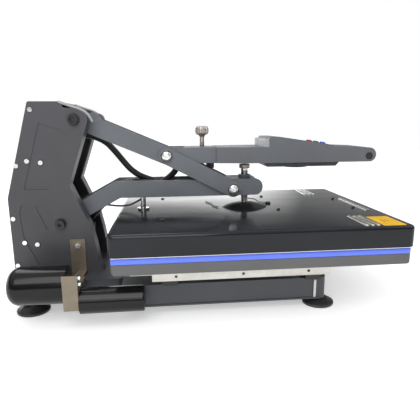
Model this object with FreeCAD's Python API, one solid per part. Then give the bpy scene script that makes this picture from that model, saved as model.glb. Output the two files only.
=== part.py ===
import FreeCAD, Part
import math
import os

V = FreeCAD.Vector

# Clamshell heat press. Millimetres, +Z up, +X to the operator's right, -Y to the operator.
# The origin is under the centre of the platen, on the bench that the feet stand on.

# --- overall sizes -------------------------------------------------------------------
PLATEN_WIDTH = 400.0
PLATEN_DEPTH = 500.0
FOOT_HEIGHT = 17.0
BASE_HEIGHT = 40.0
BASE_WIDTH = 300.0
FRAME_WIDTH = 140.0
FRAME_HEIGHT = 311.0

# --- gaps and fits -------------------------------------------------------------------
RUNNING_FIT = 0.05
SIDE_GAP = 0.5
SEAT_GAP = 0.3
BLOCK_FIT = 0.02
PRESS_GAP = 0.5

# --- base ----------------------------------------------------------------------------
SHEET = 3.0
BASE_FRONT_OVERHANG = 124.5
BASE_CORNER = 12.0
CHANNEL_FLANGE = 46.0
CHANNEL_LIP = 1.5
CROSSBAR_WIDTH = 40.0
REAR_BOX_WIDTH = 224.0
REAR_BOX_OVERLAP = 22.0
FOOT_RADIUS = 28.5
FRONT_FOOT_X = 130.0
FRONT_FOOT_INSET = 8.0
REAR_FOOT_X = 104.0
REAR_FOOT_BACK = 50.0
STUD_RADIUS = 4.0

# --- slide rails and drawer ----------------------------------------------------------
RAIL_LENGTH = 313.0
RAIL_CENTRE_Y = 30.5
RAIL_HEIGHT = 25.0
RAIL_GAP = 10.0
RAIL_SHEET = 1.5
RAIL_DEPTH = 9.0
RAIL_HOLE_PITCH = 116.0
RAIL_HOLE_RADIUS = 2.6
RAIL_OUTSIDE = 12.0
PAN_GAP = 2.0
PAN_HEIGHT = 17.5
PAN_CORNER = 6.0
PAN_EDGE = 8.0
PAD_THICKNESS = 10.0

# --- upper platen --------------------------------------------------------------------
HEAT_PLATE_THICKNESS = 16.0
ELEMENT_RADIUS = 4.0
ELEMENT_PITCH = 60.0
ELEMENT_RUNS = 6
MAT_THICKNESS = 10.0
COVER_MARGIN = 4.0
COVER_LIFT = 2.5
COVER_HEIGHT = 37.0
COVER_SHEET = 1.5
COVER_CORNER = 8.0
DOME_RADIUS = 46.0
DOME_HEIGHT = 10.0

# --- arm and linkage -----------------------------------------------------------------
PLATE = 6.0
ARM_OUTER = 33.0
ARM_DEPTH = 32.0
ARM_CLEAR = 29.0
ARM_PIVOT_BEHIND = 102.0
ARM_PIVOT_ABOVE = 29.0
ARM_SHAFT_RADIUS = 10.0
HUB_RADIUS = 21.0
KNEE_BEHIND = 1.0
LEVER_PIVOT_FORWARD = 35.5
WASHER = 1.5
COLLAR_RADIUS = 12.0
STUB_GAP = 1.0
LEVER_PIVOT_ABOVE = 186.0
LEVER_BAR = 33.0
LINK_BAR = 31.0
LINK_LENGTH = 144.2
TOGGLE_RISE = 5.8
FRONT_PIN_Y = 28.6
FRONT_PIN_RISE = 12.9
PIN_RADIUS = 8.0
ARM_FRONT = -31.0
ARM_FRONT_RADIUS = 15.0
BLOCK_LENGTH = 72.0
HUB_TUBE = 15.0
BUSH = 2.0
SCREW_RADIUS = 7.5
GUIDE_Y = 206.0
GUIDE_RADIUS = 5.5

# --- handle and control box ----------------------------------------------------------
HANDLE_HALF = 50.0
HANDLE_HEIGHT = 30.5
HANDLE_REAR = 61.0
HANDLE_FRONT = -254.0
NECK_GAP = 3.5
NECK_FRONT = 7.0
NECK_BEND = 8.0
BOX_WALL = 2.5
BOX_REAR = -39.0
BOX_FRONT = -166.0
BOX_HEIGHT = 19.0
BOX_FLAT = 20.0
BOX_LIP = 2.5
WINDOW_X = (-34.0, 20.0)
WINDOW_Y = (-114.0, -68.0)
PANE_GAP = 0.2
PANE_DEPTH = 1.4
BUTTON_RADIUS = 5.5
BUTTON_PITCH = 14.0
BUTTON_FIRST_Y = -128.0
BUTTON_X = -14.0
BUTTON_GAP = 0.3
LEVER_END = -20.0
FLOOR_FRONT = -178.0
FLOOR_REAR = -29.0
FLOOR_DEPTH = 7.5
BLOCK_DEPTH = 8.0
BLOCK_RISE = 15.0
KNOB_Y = 86.0
SLEEVE_RADIUS = 6.5

# --- mains switch --------------------------------------------------------------------
ROCKER_RADIUS = 10.4
ROCKER_DEPTH = 5.0
ROCKER_PIN = 1.5

# --- side canister -------------------------------------------------------------------
TUBE_RADIUS = 21.5
TUBE_OUTSIDE = 24.0
TUBE_RISE = 28.5
TUBE_FRONT_INSET = 51.0
STRAP_BEHIND = 53.0
STRAP_WIDTH = 24.0
STRAP_LOW = -9.5
STRAP_HIGH = 49.5
STRAP_SHEET = 3.0
STRAP_CORE = 24.5
STRAP_FLANGE = 16.0
TAB_SHEET = 2.0
TAB_SHIFT = 8.0
TAB_WIDTH = 27.0
TAB_TOP = 76.0
TAB_BOLT = (21.0, 64.5)
BODY_RADIUS = 32.0
BODY_OUTSIDE = 6.0
BODY_RISE = 48.5
BODY_BEHIND = 172.0

# --- derived levels and places -------------------------------------------------------
BASE_TOP = FOOT_HEIGHT + BASE_HEIGHT
RAIL_BOTTOM = BASE_TOP + RAIL_GAP
RAIL_TOP = RAIL_BOTTOM + RAIL_HEIGHT
PAN_BOTTOM = RAIL_TOP + PAN_GAP
PAN_TOP = PAN_BOTTOM + PAN_HEIGHT
PAD_TOP = PAN_TOP + PAD_THICKNESS
HEAT_BOTTOM = PAD_TOP + PRESS_GAP
HEAT_TOP = HEAT_BOTTOM + HEAT_PLATE_THICKNESS
COVER_BOTTOM = PAD_TOP + COVER_LIFT
COVER_TOP = COVER_BOTTOM + COVER_HEIGHT
COVER_HALF_X = PLATEN_WIDTH / 2 + COVER_MARGIN
COVER_HALF_Y = PLATEN_DEPTH / 2 + COVER_MARGIN
ARM_BOTTOM = COVER_TOP + ARM_CLEAR
ARM_TOP = ARM_BOTTOM + ARM_DEPTH
ARM_INNER = ARM_OUTER - PLATE
NECK_HALF = ARM_OUTER + NECK_GAP
REAR = PLATEN_DEPTH / 2
PIVOT_Y = REAR + ARM_PIVOT_BEHIND
PIVOT_Z = HEAT_BOTTOM + ARM_PIVOT_ABOVE
LEVER_PIVOT = (PIVOT_Y - LEVER_PIVOT_FORWARD, PIVOT_Z + LEVER_PIVOT_ABOVE)
FRONT_PIN = (FRONT_PIN_Y, ARM_BOTTOM + FRONT_PIN_RISE)
LINK_INNER = ARM_OUTER + SIDE_GAP
LINK_OUTER = LINK_INNER + PLATE
FRAME_HALF = FRAME_WIDTH / 2
FRAME_INNER = FRAME_HALF - SHEET
FRAME_BACK = PIVOT_Y + 88.0
BASE_FRONT = -BASE_FRONT_OVERHANG
BASE_HALF = BASE_WIDTH / 2
BASE_SPLIT = REAR - 10.0
RAIL_OUTER = BASE_HALF + RAIL_OUTSIDE
RAIL_FLANGE_INNER = RAIL_OUTER - RAIL_DEPTH


def toggle_pin():
    """Place of the pin between lever and links: a little above the line of the outer pins."""
    dy = LEVER_PIVOT[0] - FRONT_PIN[0]
    dz = LEVER_PIVOT[1] - FRONT_PIN[1]
    span = math.hypot(dy, dz)
    along = math.sqrt(LINK_LENGTH ** 2 - TOGGLE_RISE ** 2)
    y = FRONT_PIN[0] + (along * dy - TOGGLE_RISE * dz) / span
    z = FRONT_PIN[1] + (along * dz + TOGGLE_RISE * dy) / span
    return (y, z)


TOGGLE_PIN = toggle_pin()
HANDLE_BOTTOM = TOGGLE_PIN[1] - HANDLE_HEIGHT / 2
HANDLE_TOP = HANDLE_BOTTOM + HANDLE_HEIGHT
GAS_FOOT = (PIVOT_Y - 36.0, BASE_TOP + 12.0)
GAS_HEAD = (PIVOT_Y - 42.0, PIVOT_Z + 22.0)
TUBE_X = -BASE_HALF - CHANNEL_LIP - TUBE_OUTSIDE
TUBE_Z = FOOT_HEIGHT + TUBE_RISE
TUBE_FRONT = REAR - TUBE_FRONT_INSET
STRAP_FRONT = REAR + STRAP_BEHIND
BODY_X = -REAR_BOX_WIDTH / 2 - BODY_RADIUS - BODY_OUTSIDE
BODY_Z = FOOT_HEIGHT + BODY_RISE
BODY_BACK = REAR + BODY_BEHIND


# --- shape helpers -------------------------------------------------------------------
def box(x0, x1, y0, y1, z0, z1):
    """Axis-aligned block between two corners."""
    return Part.makeBox(x1 - x0, y1 - y0, z1 - z0, V(x0, y0, z0))


def cyl_x(y, z, radius, x0, x1):
    """Cylinder along X."""
    return Part.makeCylinder(radius, x1 - x0, V(x0, y, z), V(1, 0, 0))


def cyl_y(x, z, radius, y0, y1):
    """Cylinder along Y."""
    return Part.makeCylinder(radius, y1 - y0, V(x, y0, z), V(0, 1, 0))


def cyl_z(x, y, radius, z0, z1):
    """Cylinder along Z."""
    return Part.makeCylinder(radius, z1 - z0, V(x, y, z0), V(0, 0, 1))


def rounded_face(points, place):
    """Face through (u, v, r) corners, each rounded by a tangent arc of radius r."""
    corners = []
    count = len(points)
    for i, (u, v, r) in enumerate(points):
        corner = V(u, v, 0)
        back = V(points[i - 1][0], points[i - 1][1], 0) - corner
        ahead = V(points[(i + 1) % count][0], points[(i + 1) % count][1], 0) - corner
        if r == 0:
            corners.append((corner, None, corner))
            continue
        half = back.getAngle(ahead) / 2
        back.normalize()
        ahead.normalize()
        middle = back + ahead
        middle.normalize()
        reach = r / math.tan(half)
        top = corner + middle * (r / math.sin(half) - r)
        corners.append((corner + back * reach, top, corner + ahead * reach))
    edges = []
    for i, (start, top, end) in enumerate(corners):
        following = corners[(i + 1) % count][0]
        if top is not None:
            edges.append(Part.Arc(place(start), place(top), place(end)).toShape())
        if end.distanceToPoint(following) > 1e-6:
            edges.append(Part.LineSegment(place(end), place(following)).toShape())
    return Part.Face(Part.Wire(edges))


def with_radius(points):
    """Corners as (u, v, r), where a corner given without r is sharp."""
    return [(p[0], p[1], p[2] if len(p) > 2 else 0) for p in points]


def prism_x(points, x0, x1):
    """Profile of (y, z, r) corners carried from x0 to x1."""
    face = rounded_face(with_radius(points), lambda p: V(x0, p.x, p.y))
    return face.extrude(V(x1 - x0, 0, 0))


def prism_y(points, y0, y1):
    """Profile of (x, z, r) corners carried from y0 to y1."""
    face = rounded_face(with_radius(points), lambda p: V(p.x, y0, p.y))
    return face.extrude(V(0, y1 - y0, 0))


def prism_z(points, z0, z1):
    """Profile of (x, y, r) corners carried from z0 to z1."""
    face = rounded_face(with_radius(points), lambda p: V(p.x, p.y, z0))
    return face.extrude(V(0, 0, z1 - z0))


def rect(u0, u1, v0, v1, r=0):
    """Corners of a rectangle, each rounded by r."""
    return [(u0, v0, r), (u1, v0, r), (u1, v1, r), (u0, v1, r)]


def inset(points, distance):
    """Corners of a polygon moved inwards by the same distance from every side."""
    count = len(points)
    area = sum(points[i - 1][0] * points[i][1] - points[i][0] * points[i - 1][1]
               for i in range(count))
    turn = 1 if area > 0 else -1
    lines = []
    for i in range(count):
        (u0, v0), (u1, v1) = points[i - 1][:2], points[i][:2]
        length = math.hypot(u1 - u0, v1 - v0)
        nu, nv = -(v1 - v0) / length * turn, (u1 - u0) / length * turn
        lines.append((nu, nv, nu * u0 + nv * v0 + distance))
    moved = []
    for i in range(count):
        a, b, c = lines[i]
        d, e, f = lines[(i + 1) % count]
        det = a * e - b * d
        r = points[i][2] if len(points[i]) > 2 else 0
        moved.append(((c * e - b * f) / det, (a * f - c * d) / det, max(0, r - distance)))
    return moved


def bar(start, end, width, x0, x1):
    """Round-ended bar between two (y, z) centres, carried along X."""
    dy, dz = end[0] - start[0], end[1] - start[1]
    length = math.hypot(dy, dz)
    ny, nz = -dz / length * width / 2, dy / length * width / 2
    middle = prism_x([(start[0] + ny, start[1] + nz), (end[0] + ny, end[1] + nz),
                      (end[0] - ny, end[1] - nz), (start[0] - ny, start[1] - nz)], x0, x1)
    ends = [cyl_x(p[0], p[1], width / 2, x0, x1) for p in (start, end)]
    return middle.multiFuse(ends).removeSplitter()


def tube_x(y, z, outer, inner, x0, x1):
    """Tube along X."""
    return cyl_x(y, z, outer, x0, x1).cut(cyl_x(y, z, inner, x0, x1))


def tube_z(x, y, outer, inner, z0, z1):
    """Tube along Z."""
    return cyl_z(x, y, outer, z0, z1).cut(cyl_z(x, y, inner, z0, z1))


def mirror(shape):
    """The same piece on the other side of the machine."""
    return shape.mirror(V(0, 0, 0), V(1, 0, 0))


def both(shape):
    """A piece and its mirror image, as a list of two solids."""
    return [shape, mirror(shape)]


def bolt_x(y, z, radius, head_radius, head, x_face, depth):
    """Socket-head bolt on the -X side: head outside x_face, shank inwards by depth."""
    head_part = cyl_x(y, z, head_radius, x_face - head, x_face)
    shank = cyl_x(y, z, radius, x_face, x_face + depth)
    socket = hexagon_x(y, z, radius * 0.75, x_face - head, x_face - head * 0.4)
    return head_part.fuse(shank).cut(socket).removeSplitter()


def hexagon_x(y, z, radius, x0, x1):
    """Hexagonal prism along X, by its corner radius."""
    corners = [(y + radius * math.cos(math.radians(60 * k)),
                z + radius * math.sin(math.radians(60 * k))) for k in range(6)]
    return prism_x(corners, x0, x1)


def save(name, *solids):
    """Write the solids of one piece, or of one group of like pieces, to its file."""
    flat = []
    for solid in solids:
        flat.extend(solid if isinstance(solid, list) else [solid])
    shape = flat[0] if len(flat) == 1 else Part.makeCompound(flat)
    shape.exportStep(os.path.join("parts", name + ".step"))


# --- base ----------------------------------------------------------------------------
def foot_places():
    """Centres of the four feet, front pair first."""
    front = BASE_FRONT + FRONT_FOOT_INSET
    back = PIVOT_Y + REAR_FOOT_BACK
    return [(side * FRONT_FOOT_X, front) for side in (-1, 1)] + [
        (side * REAR_FOOT_X, back) for side in (-1, 1)]


def make_feet():
    """Four stepped rubber discs and the threaded studs that hold them."""
    pads, studs = [], []
    for x, y in foot_places():
        disc = cyl_z(x, y, FOOT_RADIUS, 0, 6)
        disc = disc.makeFillet(2, [e for e in disc.Edges if e.BoundBox.ZLength < 0.01])
        cone = Part.makeCone(FOOT_RADIUS - 3, 15, 7, V(x, y, 6), V(0, 0, 1))
        pads.append(disc.fuse(cone).cut(cyl_z(x, y, STUD_RADIUS, 3, 14)).removeSplitter())
        nut_top = FOOT_HEIGHT
        stud = cyl_z(x, y, STUD_RADIUS, 3, FOOT_HEIGHT + SHEET + 8)
        nut = cyl_z(x, y, STUD_RADIUS + 4, 13 + SEAT_GAP, nut_top)
        studs.append(stud.fuse(nut).removeSplitter())
    save("foot_pads", pads)
    save("foot_studs", studs)


def stud_holes():
    """Tools that cut the stud holes, with a little room, through the base sheets."""
    return [cyl_z(x, y, STUD_RADIUS + 0.2, FOOT_HEIGHT - 1, FOOT_HEIGHT + SHEET + 1)
            for x, y in foot_places()]


def make_base_channels():
    """Two folded C-channels, open to the middle, that carry the drawer."""
    outer, inner = -BASE_HALF, -BASE_HALF + CHANNEL_FLANGE
    channel = prism_z([(outer, BASE_FRONT, BASE_CORNER), (inner, BASE_FRONT, 0),
                       (inner, BASE_SPLIT, 0), (outer, BASE_SPLIT, 0)], FOOT_HEIGHT, BASE_TOP)
    front, back = BASE_FRONT + SHEET, BASE_SPLIT + 1
    hollow = prism_z([(outer + SHEET, front, BASE_CORNER - SHEET), (inner + 1, front, 0),
                      (inner + 1, back, 0), (outer + SHEET, back, 0)],
                     FOOT_HEIGHT + SHEET, BASE_TOP - SHEET)
    channel = channel.cut(hollow)
    lip = box(outer - CHANNEL_LIP, outer, BASE_FRONT + BASE_CORNER, BASE_SPLIT,
              FOOT_HEIGHT, FOOT_HEIGHT + SHEET)
    channel = channel.fuse(lip).removeSplitter().cut(Part.makeCompound(stud_holes()))
    save("base_channels", both(channel))


def make_crossbar():
    """Front cross member between the two channels."""
    reach = BASE_HALF - CHANNEL_FLANGE
    solid = box(-reach, reach, BASE_FRONT + 2, BASE_FRONT + 2 + CROSSBAR_WIDTH,
                FOOT_HEIGHT, BASE_TOP)
    hollow = box(-reach - 1, reach + 1, BASE_FRONT + 2 + SHEET,
                 BASE_FRONT + 3 + CROSSBAR_WIDTH, FOOT_HEIGHT + SHEET, BASE_TOP - SHEET)
    save("base_crossbar", solid.cut(hollow))


def make_rear_box():
    """Folded rear base under the frame, open below, closed by its four walls."""
    half = REAR_BOX_WIDTH / 2
    walls = prism_z(rect(-half, half, BASE_SPLIT + SEAT_GAP, FRAME_BACK, 10),
                    FOOT_HEIGHT, BASE_TOP)
    hollow = box(-half + SHEET, half - SHEET, BASE_SPLIT + SEAT_GAP + SHEET,
                 FRAME_BACK - SHEET, FOOT_HEIGHT - 1, BASE_TOP - SHEET)
    tray = walls.cut(hollow)
    pads = []
    for x, y in foot_places()[2:]:
        pads.append(box(x - 20, x + 20, y - 20, y + 20, FOOT_HEIGHT, FOOT_HEIGHT + SHEET))
    tray = tray.multiFuse([p.common(walls) for p in pads])
    ribs = [box(x - 1.5, x + 1.5, PIVOT_Y + 20, FRAME_BACK - 1, FOOT_HEIGHT, BASE_TOP - 1)
            for x in (-REAR_FOOT_X + 21.5, REAR_FOOT_X - 21.5)]
    tray = tray.multiFuse(ribs).cut(Part.makeCompound(stud_holes())).removeSplitter()
    save("rear_base", tray)


# --- frame ---------------------------------------------------------------------------
def plate_outline():
    """Corners (y, z, r) of a frame side plate, from the bottom front corner upwards."""
    top = BASE_TOP + FRAME_HEIGHT
    y = PIVOT_Y
    return [
        (y - 72, BASE_TOP, 0), (y - 65, BASE_TOP + 19, 0), (y - 59, BASE_TOP + 56, 0),
        (y - 52, BASE_TOP + 90, 6), (y - 20, BASE_TOP + 165, 5), (y - 67, top - 11, 20),
        (y - 18, top - 11, 0), (y - 15, top, 0), (y + 40, top, 4),
        (y + 88, BASE_TOP + 143, 20), (y + 88, BASE_TOP, 0)]


def pressed_fields():
    """Corners (y, z, r) of the shallow pressed fields in a side plate."""
    y, z = PIVOT_Y, BASE_TOP
    upper = [(y + 24, z + 275, 3), (y - 18, z + 261, 3), (y + 16, z + 158, 3),
             (y + 59, z + 158, 3)]
    middle = [(y + 43, z + 129, 2), (y + 26, z + 129, 3), (y + 14, z + 106, 3),
              (y + 24, z + 82, 2)]
    band = [(y + 49, z + 130, 2), (y + 65, z + 132, 3), (y + 71, z + 116, 3),
            (y + 67, z + 68, 3), (y + 42, z + 13, 2), (y + 5, z + 16, 2)]
    return [upper, middle, band]


def screw_places():
    """Places (y, z) of the small pan-head screws on a side plate."""
    y, z = PIVOT_Y, BASE_TOP
    return [(y + 36, z + 297), (y + 49, z + 209), (y + 26, z + 206), (y + 68, z + 201),
            (y + 82, z + 106), (y + 66, z + 61), (y + 44, z + 57), (y + 82, z + 18)]


def make_side_plates():
    """Folded side plates with an inward front flange and shallow pressed fields."""
    outline = plate_outline()
    plate = prism_x(outline, -FRAME_HALF, -FRAME_INNER)
    for field in pressed_fields():
        plate = plate.cut(prism_x(field, -FRAME_HALF - 1, -FRAME_HALF + 1.2))
    inner = inset(outline, SHEET)
    flange = prism_x(outline, -FRAME_HALF, -LINK_OUTER - 1)
    flange = flange.cut(prism_x(inner, -FRAME_HALF - 1, -LINK_OUTER))
    keep_below = prism_x([(outline[0][0] - 40, BASE_TOP), (outline[0][0] - 40, BASE_TOP + 350),
                          (PIVOT_Y - 19, BASE_TOP + 350), (PIVOT_Y - 14, BASE_TOP + 160),
                          (PIVOT_Y - 30, BASE_TOP)], -FRAME_HALF, -LINK_OUTER)
    flange = flange.common(keep_below)
    flange = flange.cut(cyl_x(*LEVER_PIVOT, COLLAR_RADIUS + SHEET, -FRAME_INNER, -LINK_OUTER))
    plate = plate.fuse(flange)
    holes = [cyl_x(p[0], p[1], PIN_RADIUS + 0.1, -FRAME_HALF - 1, -FRAME_INNER + 1)
             for p in (LEVER_PIVOT, (PIVOT_Y, PIVOT_Z))]
    holes += [cyl_x(p[0], p[1], 2.1, -FRAME_HALF - 1, -FRAME_INNER + 1)
              for p in screw_places()]
    plate = plate.cut(Part.makeCompound(holes)).removeSplitter()
    save("side_plate_left", plate)
    save("side_plate_right", mirror(plate))


def make_back_cover():
    """Folded rear and top cover with cooling slots, between the side plates."""
    y, top = PIVOT_Y, BASE_TOP + FRAME_HEIGHT
    gap = SEAT_GAP
    path = [(y - 14, top - gap), (y + 39, top - gap), (y + 88 - gap, BASE_TOP + 143),
            (y + 88 - gap, BASE_TOP + gap)]
    inner = [(y + 88 - gap - 2, BASE_TOP + gap), (y + 88 - gap - 2, BASE_TOP + 142.5),
             (y + 37.6, top - gap - 2), (y - 14, top - gap - 2)]
    half = FRAME_INNER - gap
    sheet = prism_x(path + inner, -half, half)
    slots = [box(x - 2, x + 2, y + 80, y + 90, BASE_TOP + 60, BASE_TOP + 110)
             for x in range(-42, 43, 12)]
    save("back_cover", sheet.cut(Part.makeCompound(slots + [box(*inlet_box(0.2))])))


def inlet_box(room):
    """Limits of the mains inlet's housing through the back cover."""
    return (-42 - room, 34 + room, FRAME_BACK - 24 - room, FRAME_BACK + 1 + room,
            BASE_TOP + 12 - room, BASE_TOP + 36 + room)


def make_mains():
    """Mains inlet with a built-in rocker switch on the back of the frame."""
    x0, x1, y0, y1, z0, z1 = inlet_box(0)
    flange = box(x0 - 3, x1 + 3, FRAME_BACK, FRAME_BACK + 2, z0 - 3, z1 + 3)
    housing = box(x0, x1, y0, y1, z0, z1).fuse(flange)
    socket = box(x0 + 3, -8, y1 - 14, y1 + 3, z0 + 3, z1 - 3)
    well = box(10, x1 - 2, y1 - 14, y1 + 3, z0 + 4, z1 - 4)
    xc, zc, axis_y = (8 + x1) / 2, (z0 + z1) / 2, FRAME_BACK - ROCKER_DEPTH
    pivot = cyl_z(xc, axis_y, ROCKER_PIN + RUNNING_FIT, z0 + 2, z1 - 2)
    housing = housing.cut(socket).cut(well).cut(pivot)
    pins = [box(x - 1, x + 1, y1 - 15, y1 - 4, z0 + 9, z0 + 14) for x in (-32, -24, -16)]
    save("power_inlet", housing.multiFuse(pins).removeSplitter())
    drum = cyl_z(xc, axis_y, ROCKER_RADIUS, zc - 7.5, zc + 7.5)
    back = FRAME_BACK
    face = prism_z([(xc - 12, back + 3.5), (xc, back + 0.8), (xc + 12, back + 1.2),
                    (xc + 12, axis_y - 6), (xc - 12, axis_y - 6)], zc - 7.5, zc + 7.5)
    rocker = drum.common(face).fuse(cyl_z(xc, axis_y, ROCKER_PIN, z0 + 2.2, z1 - 2.2))
    save("power_rocker", rocker.removeSplitter())


def make_cross_bars():
    """Round tie bars between the side plates, clear of the arm and the lever."""
    places = [(PIVOT_Y + 30, BASE_TOP + 290), (PIVOT_Y + 68, BASE_TOP + 120),
              (PIVOT_Y + 50, BASE_TOP + 60)]
    bars = [cyl_x(y, z, 6, -FRAME_INNER, FRAME_INNER) for y, z in places]
    save("frame_tie_bars", bars)


def make_frame_screws():
    """Small pan-head screws on both side plates."""
    screws = []
    for y, z in screw_places():
        head = Part.makeSphere(4.4, V(-FRAME_HALF, y, z))
        head = head.common(box(-FRAME_HALF - 1.9, -FRAME_HALF, y - 5, y + 5, z - 5, z + 5))
        screws += both(head.fuse(cyl_x(y, z, 1.9, -FRAME_HALF - 0.5, -FRAME_INNER)))
    save("frame_screws", screws + canister_bolts())


def make_pivot_bolts():
    """Arm shaft across the frame, and the black bolts and collars of both frame pivots."""
    shaft = cyl_x(PIVOT_Y, PIVOT_Z, ARM_SHAFT_RADIUS, -FRAME_INNER, FRAME_INNER)
    for side in (-1, 1):
        x0, x1 = sorted((side * (FRAME_INNER - 22), side * (FRAME_INNER + 1)))
        shaft = shaft.cut(cyl_x(PIVOT_Y, PIVOT_Z, 5, x0, x1))
    save("arm_shaft", shaft)
    bolts = []
    arm_bolt = bolt_x(PIVOT_Y, PIVOT_Z, 5, 8, 7, -FRAME_HALF - WASHER, 20)
    washer = tube_x(PIVOT_Y, PIVOT_Z, 10.6, 5.1, -FRAME_HALF - WASHER, -FRAME_HALF)
    bolts += both(arm_bolt) + both(washer)
    y, z = LEVER_PIVOT
    washer_face = -FRAME_HALF - WASHER
    stub = -washer_face - LINK_OUTER - STUB_GAP
    lever_bolt = bolt_x(y, z, PIN_RADIUS, 8.8, 7, washer_face, stub)
    washer = tube_x(y, z, 10.6, PIN_RADIUS + 0.1, washer_face, -FRAME_HALF)
    collar = tube_x(y, z, COLLAR_RADIUS, PIN_RADIUS + 0.1, -FRAME_INNER, -LINK_OUTER - 2)
    bolts += both(lever_bolt) + both(washer) + both(collar)
    save("pivot_bolts", bolts)


# --- rails and drawer ----------------------------------------------------------------
def rail_ends():
    """Front and rear end of the slide rails."""
    return RAIL_CENTRE_Y - RAIL_LENGTH / 2, RAIL_CENTRE_Y + RAIL_LENGTH / 2


def make_rails():
    """Fixed slide members on the base, with the blocks that they stand on."""
    y0, y1 = rail_ends()
    solid = box(-RAIL_OUTER, -RAIL_FLANGE_INNER, y0, y1, RAIL_BOTTOM, RAIL_TOP)
    hollow = box(-RAIL_OUTER + RAIL_SHEET, -RAIL_FLANGE_INNER + 1, y0 - 1, y1 + 1,
                 RAIL_BOTTOM + RAIL_SHEET, RAIL_TOP - RAIL_SHEET)
    rail = solid.cut(hollow)
    for k in (-1, 0, 1):
        rail = rail.cut(cyl_x(RAIL_CENTRE_Y + k * RAIL_HOLE_PITCH, RAIL_BOTTOM + 8,
                              RAIL_HOLE_RADIUS, -RAIL_OUTER - 1, -RAIL_OUTER + 2))
    save("slide_rails", both(rail))
    blocks = []
    for k in (-1, 1):
        y = RAIL_CENTRE_Y + k * (RAIL_LENGTH / 2 - 30)
        blocks += both(box(-RAIL_FLANGE_INNER - 4, -BASE_HALF + 25, y - 14, y + 14,
                           BASE_TOP, RAIL_BOTTOM))
    save("rail_blocks", blocks)


def make_drawer():
    """Lower platen pan, its ribs, the brackets and runners that slide, and the pad."""
    half_x, half_y = PLATEN_WIDTH / 2, PLATEN_DEPTH / 2
    side = [(-half_y, PAN_BOTTOM, PAN_EDGE), (half_y, PAN_BOTTOM, PAN_EDGE),
            (half_y, PAN_TOP, 0), (-half_y, PAN_TOP, 0)]
    plan = prism_z(rect(-half_x, half_x, -half_y, half_y, PAN_CORNER), PAN_BOTTOM, PAN_TOP)
    pan = prism_x(side, -half_x, half_x).common(plan)
    pan = pan.cut(box(-half_x + SHEET, half_x - SHEET, -half_y + SHEET, half_y - SHEET,
                      PAN_BOTTOM - 1, PAN_TOP - SHEET))
    save("lower_platen", pan.removeSplitter())
    save("platen_pad", prism_z(rect(-half_x, half_x, -half_y, half_y, 3), PAN_TOP, PAD_TOP))
    web_x = RAIL_FLANGE_INNER - 0.5
    under = PAN_TOP - SHEET
    reach = web_x - 24
    ribs = []
    for y in (-PLATEN_DEPTH * 0.24, PLATEN_DEPTH * 0.24):
        rib = box(-reach, reach, y - 20, y + 20, under - 10, under)
        ribs.append(rib.cut(box(-reach - 1, reach + 1, y - 17, y + 17, under - 11, under - 3)))
    save("platen_ribs", ribs)
    y0, y1 = rail_ends()
    runner_z0, runner_z1 = RAIL_BOTTOM + 4, RAIL_TOP - 4
    web = box(-web_x, -web_x + 2, y0, y1, runner_z0, under)
    flange = box(-web_x + 2, -web_x + 22, y0, y1, under - 2, under)
    bracket = web.fuse(flange)
    pads = [box(-web_x - 2, -web_x, y - 10, y + 10, runner_z0 + 4, runner_z1 - 4)
            for y in (y0 + 30, RAIL_CENTRE_Y, y1 - 30)]
    save("drawer_brackets", both(bracket.multiFuse(pads).removeSplitter()))
    out = web_x + 2
    runner = box(-out - 5, -out, y0, y1, runner_z0, runner_z1)
    runner = runner.cut(box(-out - 6, -out - 1.5, y0 - 1, y1 + 1, runner_z0 + 1.5,
                            runner_z1 - 1.5))
    save("drawer_runners", both(runner))


# --- upper platen --------------------------------------------------------------------
def make_heat_plate():
    """Aluminium plate, its tubular element, the insulation and the load post."""
    half_x, half_y = PLATEN_WIDTH / 2, PLATEN_DEPTH / 2
    save("heat_plate", prism_z(rect(-half_x, half_x, -half_y, half_y, 4),
                               HEAT_BOTTOM, HEAT_TOP))
    z = HEAT_TOP + ELEMENT_RADIUS
    reach = half_y - ELEMENT_PITCH
    first = -(ELEMENT_RUNS - 1) / 2 * ELEMENT_PITCH
    element = []
    for k in range(ELEMENT_RUNS):
        element.append(cyl_y(first + k * ELEMENT_PITCH, z, ELEMENT_RADIUS, -reach, reach))
    for k in range(ELEMENT_RUNS - 1):
        end = 1 if k % 2 == 0 else -1
        centre = V(first + (k + 0.5) * ELEMENT_PITCH, end * reach, z)
        bend = Part.makeTorus(ELEMENT_PITCH / 2, ELEMENT_RADIUS, centre, V(0, 0, 1))
        y0, y1 = sorted((end * reach, end * (reach + ELEMENT_PITCH)))
        half = box(centre.x - ELEMENT_PITCH, centre.x + ELEMENT_PITCH, y0, y1, z - 9, z + 9)
        element.append(bend.common(half))
    save("heating_element", element[0].multiFuse(element[1:]).removeSplitter())
    mat_z = HEAT_TOP + 2 * ELEMENT_RADIUS + SEAT_GAP
    post = cyl_z(0, 0, 22, HEAT_TOP, COVER_TOP - COVER_SHEET)
    mat = prism_z(rect(-half_x + 8, half_x - 8, -half_y + 8, half_y - 8, 6),
                  mat_z, mat_z + MAT_THICKNESS)
    save("insulation_mat", mat.cut(cyl_z(0, 0, 23, mat_z - 1, mat_z + MAT_THICKNESS + 1)))
    save("load_post", post)


def make_cover():
    """Pressed sheet cover over the heat plate, open below."""
    x, y = COVER_HALF_X, COVER_HALF_Y
    outer = prism_z(rect(-x, x, -y, y, COVER_CORNER), COVER_BOTTOM, COVER_TOP)
    top_edges = [e for e in outer.Edges if e.BoundBox.ZMin > COVER_TOP - 0.1]
    outer = outer.makeFillet(3, top_edges)
    t = COVER_SHEET
    hollow = prism_z(rect(-x + t, x - t, -y + t, y - t, COVER_CORNER - t),
                     COVER_BOTTOM - 1, COVER_TOP - t)
    save("platen_cover", outer.cut(hollow).removeSplitter())


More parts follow.
